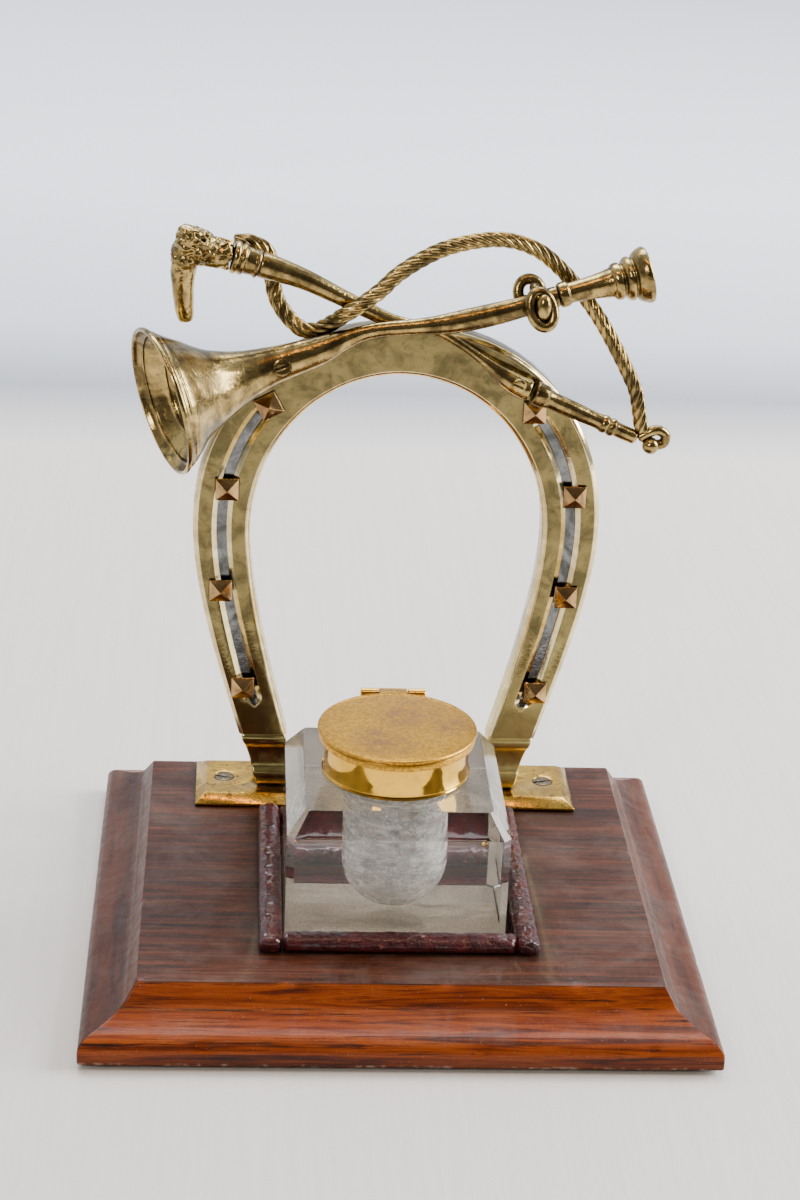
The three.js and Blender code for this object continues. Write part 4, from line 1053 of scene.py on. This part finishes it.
def finish_node(name, material, edge_mm):
    """A CAD node kept as it is, with eased edges and its material."""
    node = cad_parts[name]
    weld = node.modifiers.new("weld", "WELD")
    weld.merge_threshold = 1e-6
    ease = node.modifiers.new("ease", "BEVEL")
    ease.width, ease.segments, ease.limit_method = edge_mm * MM, 2, "ANGLE"
    ease.angle_limit = math.radians(28)
    ease.harden_normals = True
    node.data.materials.clear()
    node.data.materials.append(material)
    for polygon in node.data.polygons:
        polygon.use_smooth = True


def finish_nodes():
    for side in ("left", "right"):
        finish_node(f"foot_plate_{side}", brass["plate"], 0.22)
        finish_node(f"plate_screw_{side}", steel, 0.15)
        finish_node(f"shoe_bolt_{side}", steel, 0.25)
        for i in range(1, 5):
            finish_node(f"nail_stud_{side}_{i}", brass["stud"], 0.16)
    for name in ("horn_screw", "crop_screw", "horn_spacer"):
        finish_node(name, brass["trophy"], 0.15)
    finish_node("hinge_pin", steel, 0.1)


# ---- camera, floor and light

def photo_camera():
    yaw, pitch, tilt = (math.radians(a) for a in (-4.027, 22.993, 2.73))
    ahead = Vector((-math.sin(yaw), math.cos(yaw), 0))
    across = Vector((math.cos(yaw), math.sin(yaw), 0))
    forward = ahead * math.cos(pitch) - Vector((0, 0, 1)) * math.sin(pitch)
    rise = ahead * math.sin(pitch) + Vector((0, 0, 1)) * math.cos(pitch)
    right = across * math.cos(tilt) + rise * math.sin(tilt)
    up = rise * math.cos(tilt) - across * math.sin(tilt)
    data = bpy.data.cameras.new("camera")
    data.lens, data.sensor_width, data.clip_start, data.clip_end = 78, 36, 0.02, 30
    camera = bpy.data.objects.new("camera", data)
    turn = Matrix((right, up, -forward)).transposed().to_4x4()
    camera.matrix_world = Matrix.Translation(Vector((-47.2, -655.5, 379.6)) * MM) @ turn
    bpy.context.collection.objects.link(camera)
    bpy.context.scene.camera = camera


def floor():
    """A pale painted table top that meets a cool grey far zone in a soft line."""
    g = Graph("floor_pale")
    depth = g.split(g.place)[1]
    share = g.sum("DIVIDE", depth, 1000)
    far = g.ramp(share, (0.455, 0.0), (0.52, 1.0))
    line = g.ramp(share, (0.40, 0.0), (0.48, 0.9), (0.58, 0.4), (0.85, 0.0))
    brush = g.noise(1, 4, 0.6, place=g.stretched((0.3, 0.012, 0.3), (0, 0, 0.12)))
    near = g.mix(brush, (0.66, 0.635, 0.615), (0.76, 0.735, 0.715))
    colour = g.mix(far, near, (0.80, 0.85, 0.93))
    colour = g.mix(line, colour, (0.30, 0.33, 0.385))
    g.set(Base_Color=colour, Roughness=0.75)
    g.set(Normal=g.bump(brush, 0.15))
    mesh = bpy.data.meshes.new("floor")
    mesh.from_pydata([(-6, -4, 0), (6, -4, 0), (6, 8, 0), (-6, 8, 0)], [], [(0, 1, 2, 3)])
    mesh.materials.append(g.material)
    plane = bpy.data.objects.new("floor", mesh)
    plane.location.z = -0.0002
    bpy.context.collection.objects.link(plane)


def soft_box(name, place, aim, size, power, colour=(1, 1, 1)):
    light = bpy.data.lights.new(name, "AREA")
    light.shape, light.size, light.size_y = "RECTANGLE", size[0], size[1]
    light.energy, light.color = power, colour
    lamp = bpy.data.objects.new(name, light)
    lamp.location = place
    lamp.rotation_euler = (Vector(aim) - Vector(place)).to_track_quat("-Z", "Y").to_euler()
    bpy.context.collection.objects.link(lamp)


def studio():
    world = bpy.data.worlds.new("studio")
    bpy.context.scene.world = world
    g = Nodes(world)
    behind = g.split(g.node("ShaderNodeTexCoord").outputs["Generated"])[1]
    depth = g.node("ShaderNodeMapRange", {0: behind, "From Min": -1}).outputs[0]
    sky = g.ramp(
        depth, (0.0, (0.13, 0.115, 0.10)), (0.3, (0.26, 0.25, 0.24)), (0.55, (0.8, 0.82, 0.86)),
        (1.0, (1.0, 1.03, 1.08)),
    )
    background = g.tree.nodes["Background"].inputs
    g.feed(background[0], sky)
    g.feed(background[1], 1.0)
    soft_box("window_right", (1.25, 0.1, 0.7), (0, 0, 0.08), (0.8, 1.0), 42, (1, 0.98, 0.95))
    soft_box("overhead", (-0.1, 0.75, 1.35), (0, 0, 0.05), (1.2, 0.8), 20, (0.93, 0.96, 1))
    soft_box("backdrop", (0, 0.9, 1.5), (0, 2.4, 0), (2.4, 0.4), 34, (0.95, 0.97, 1))
    soft_box("front_fill", (-0.75, -1.2, 1.0), (0, 0, 0.05), (0.35, 0.35), 9, (1, 0.88, 0.74))
    soft_box("warm_strip", (-0.1, -0.3, 1.0), (0, 0, 0.12), (0.6, 0.04), 1.6, (1, 0.5, 0.14))


photo_camera()
build_base()
build_surround()
build_shoe()
build_horn()
build_crop()
build_lash()
build_bottle()
build_fittings()
finish_nodes()
floor()
studio()
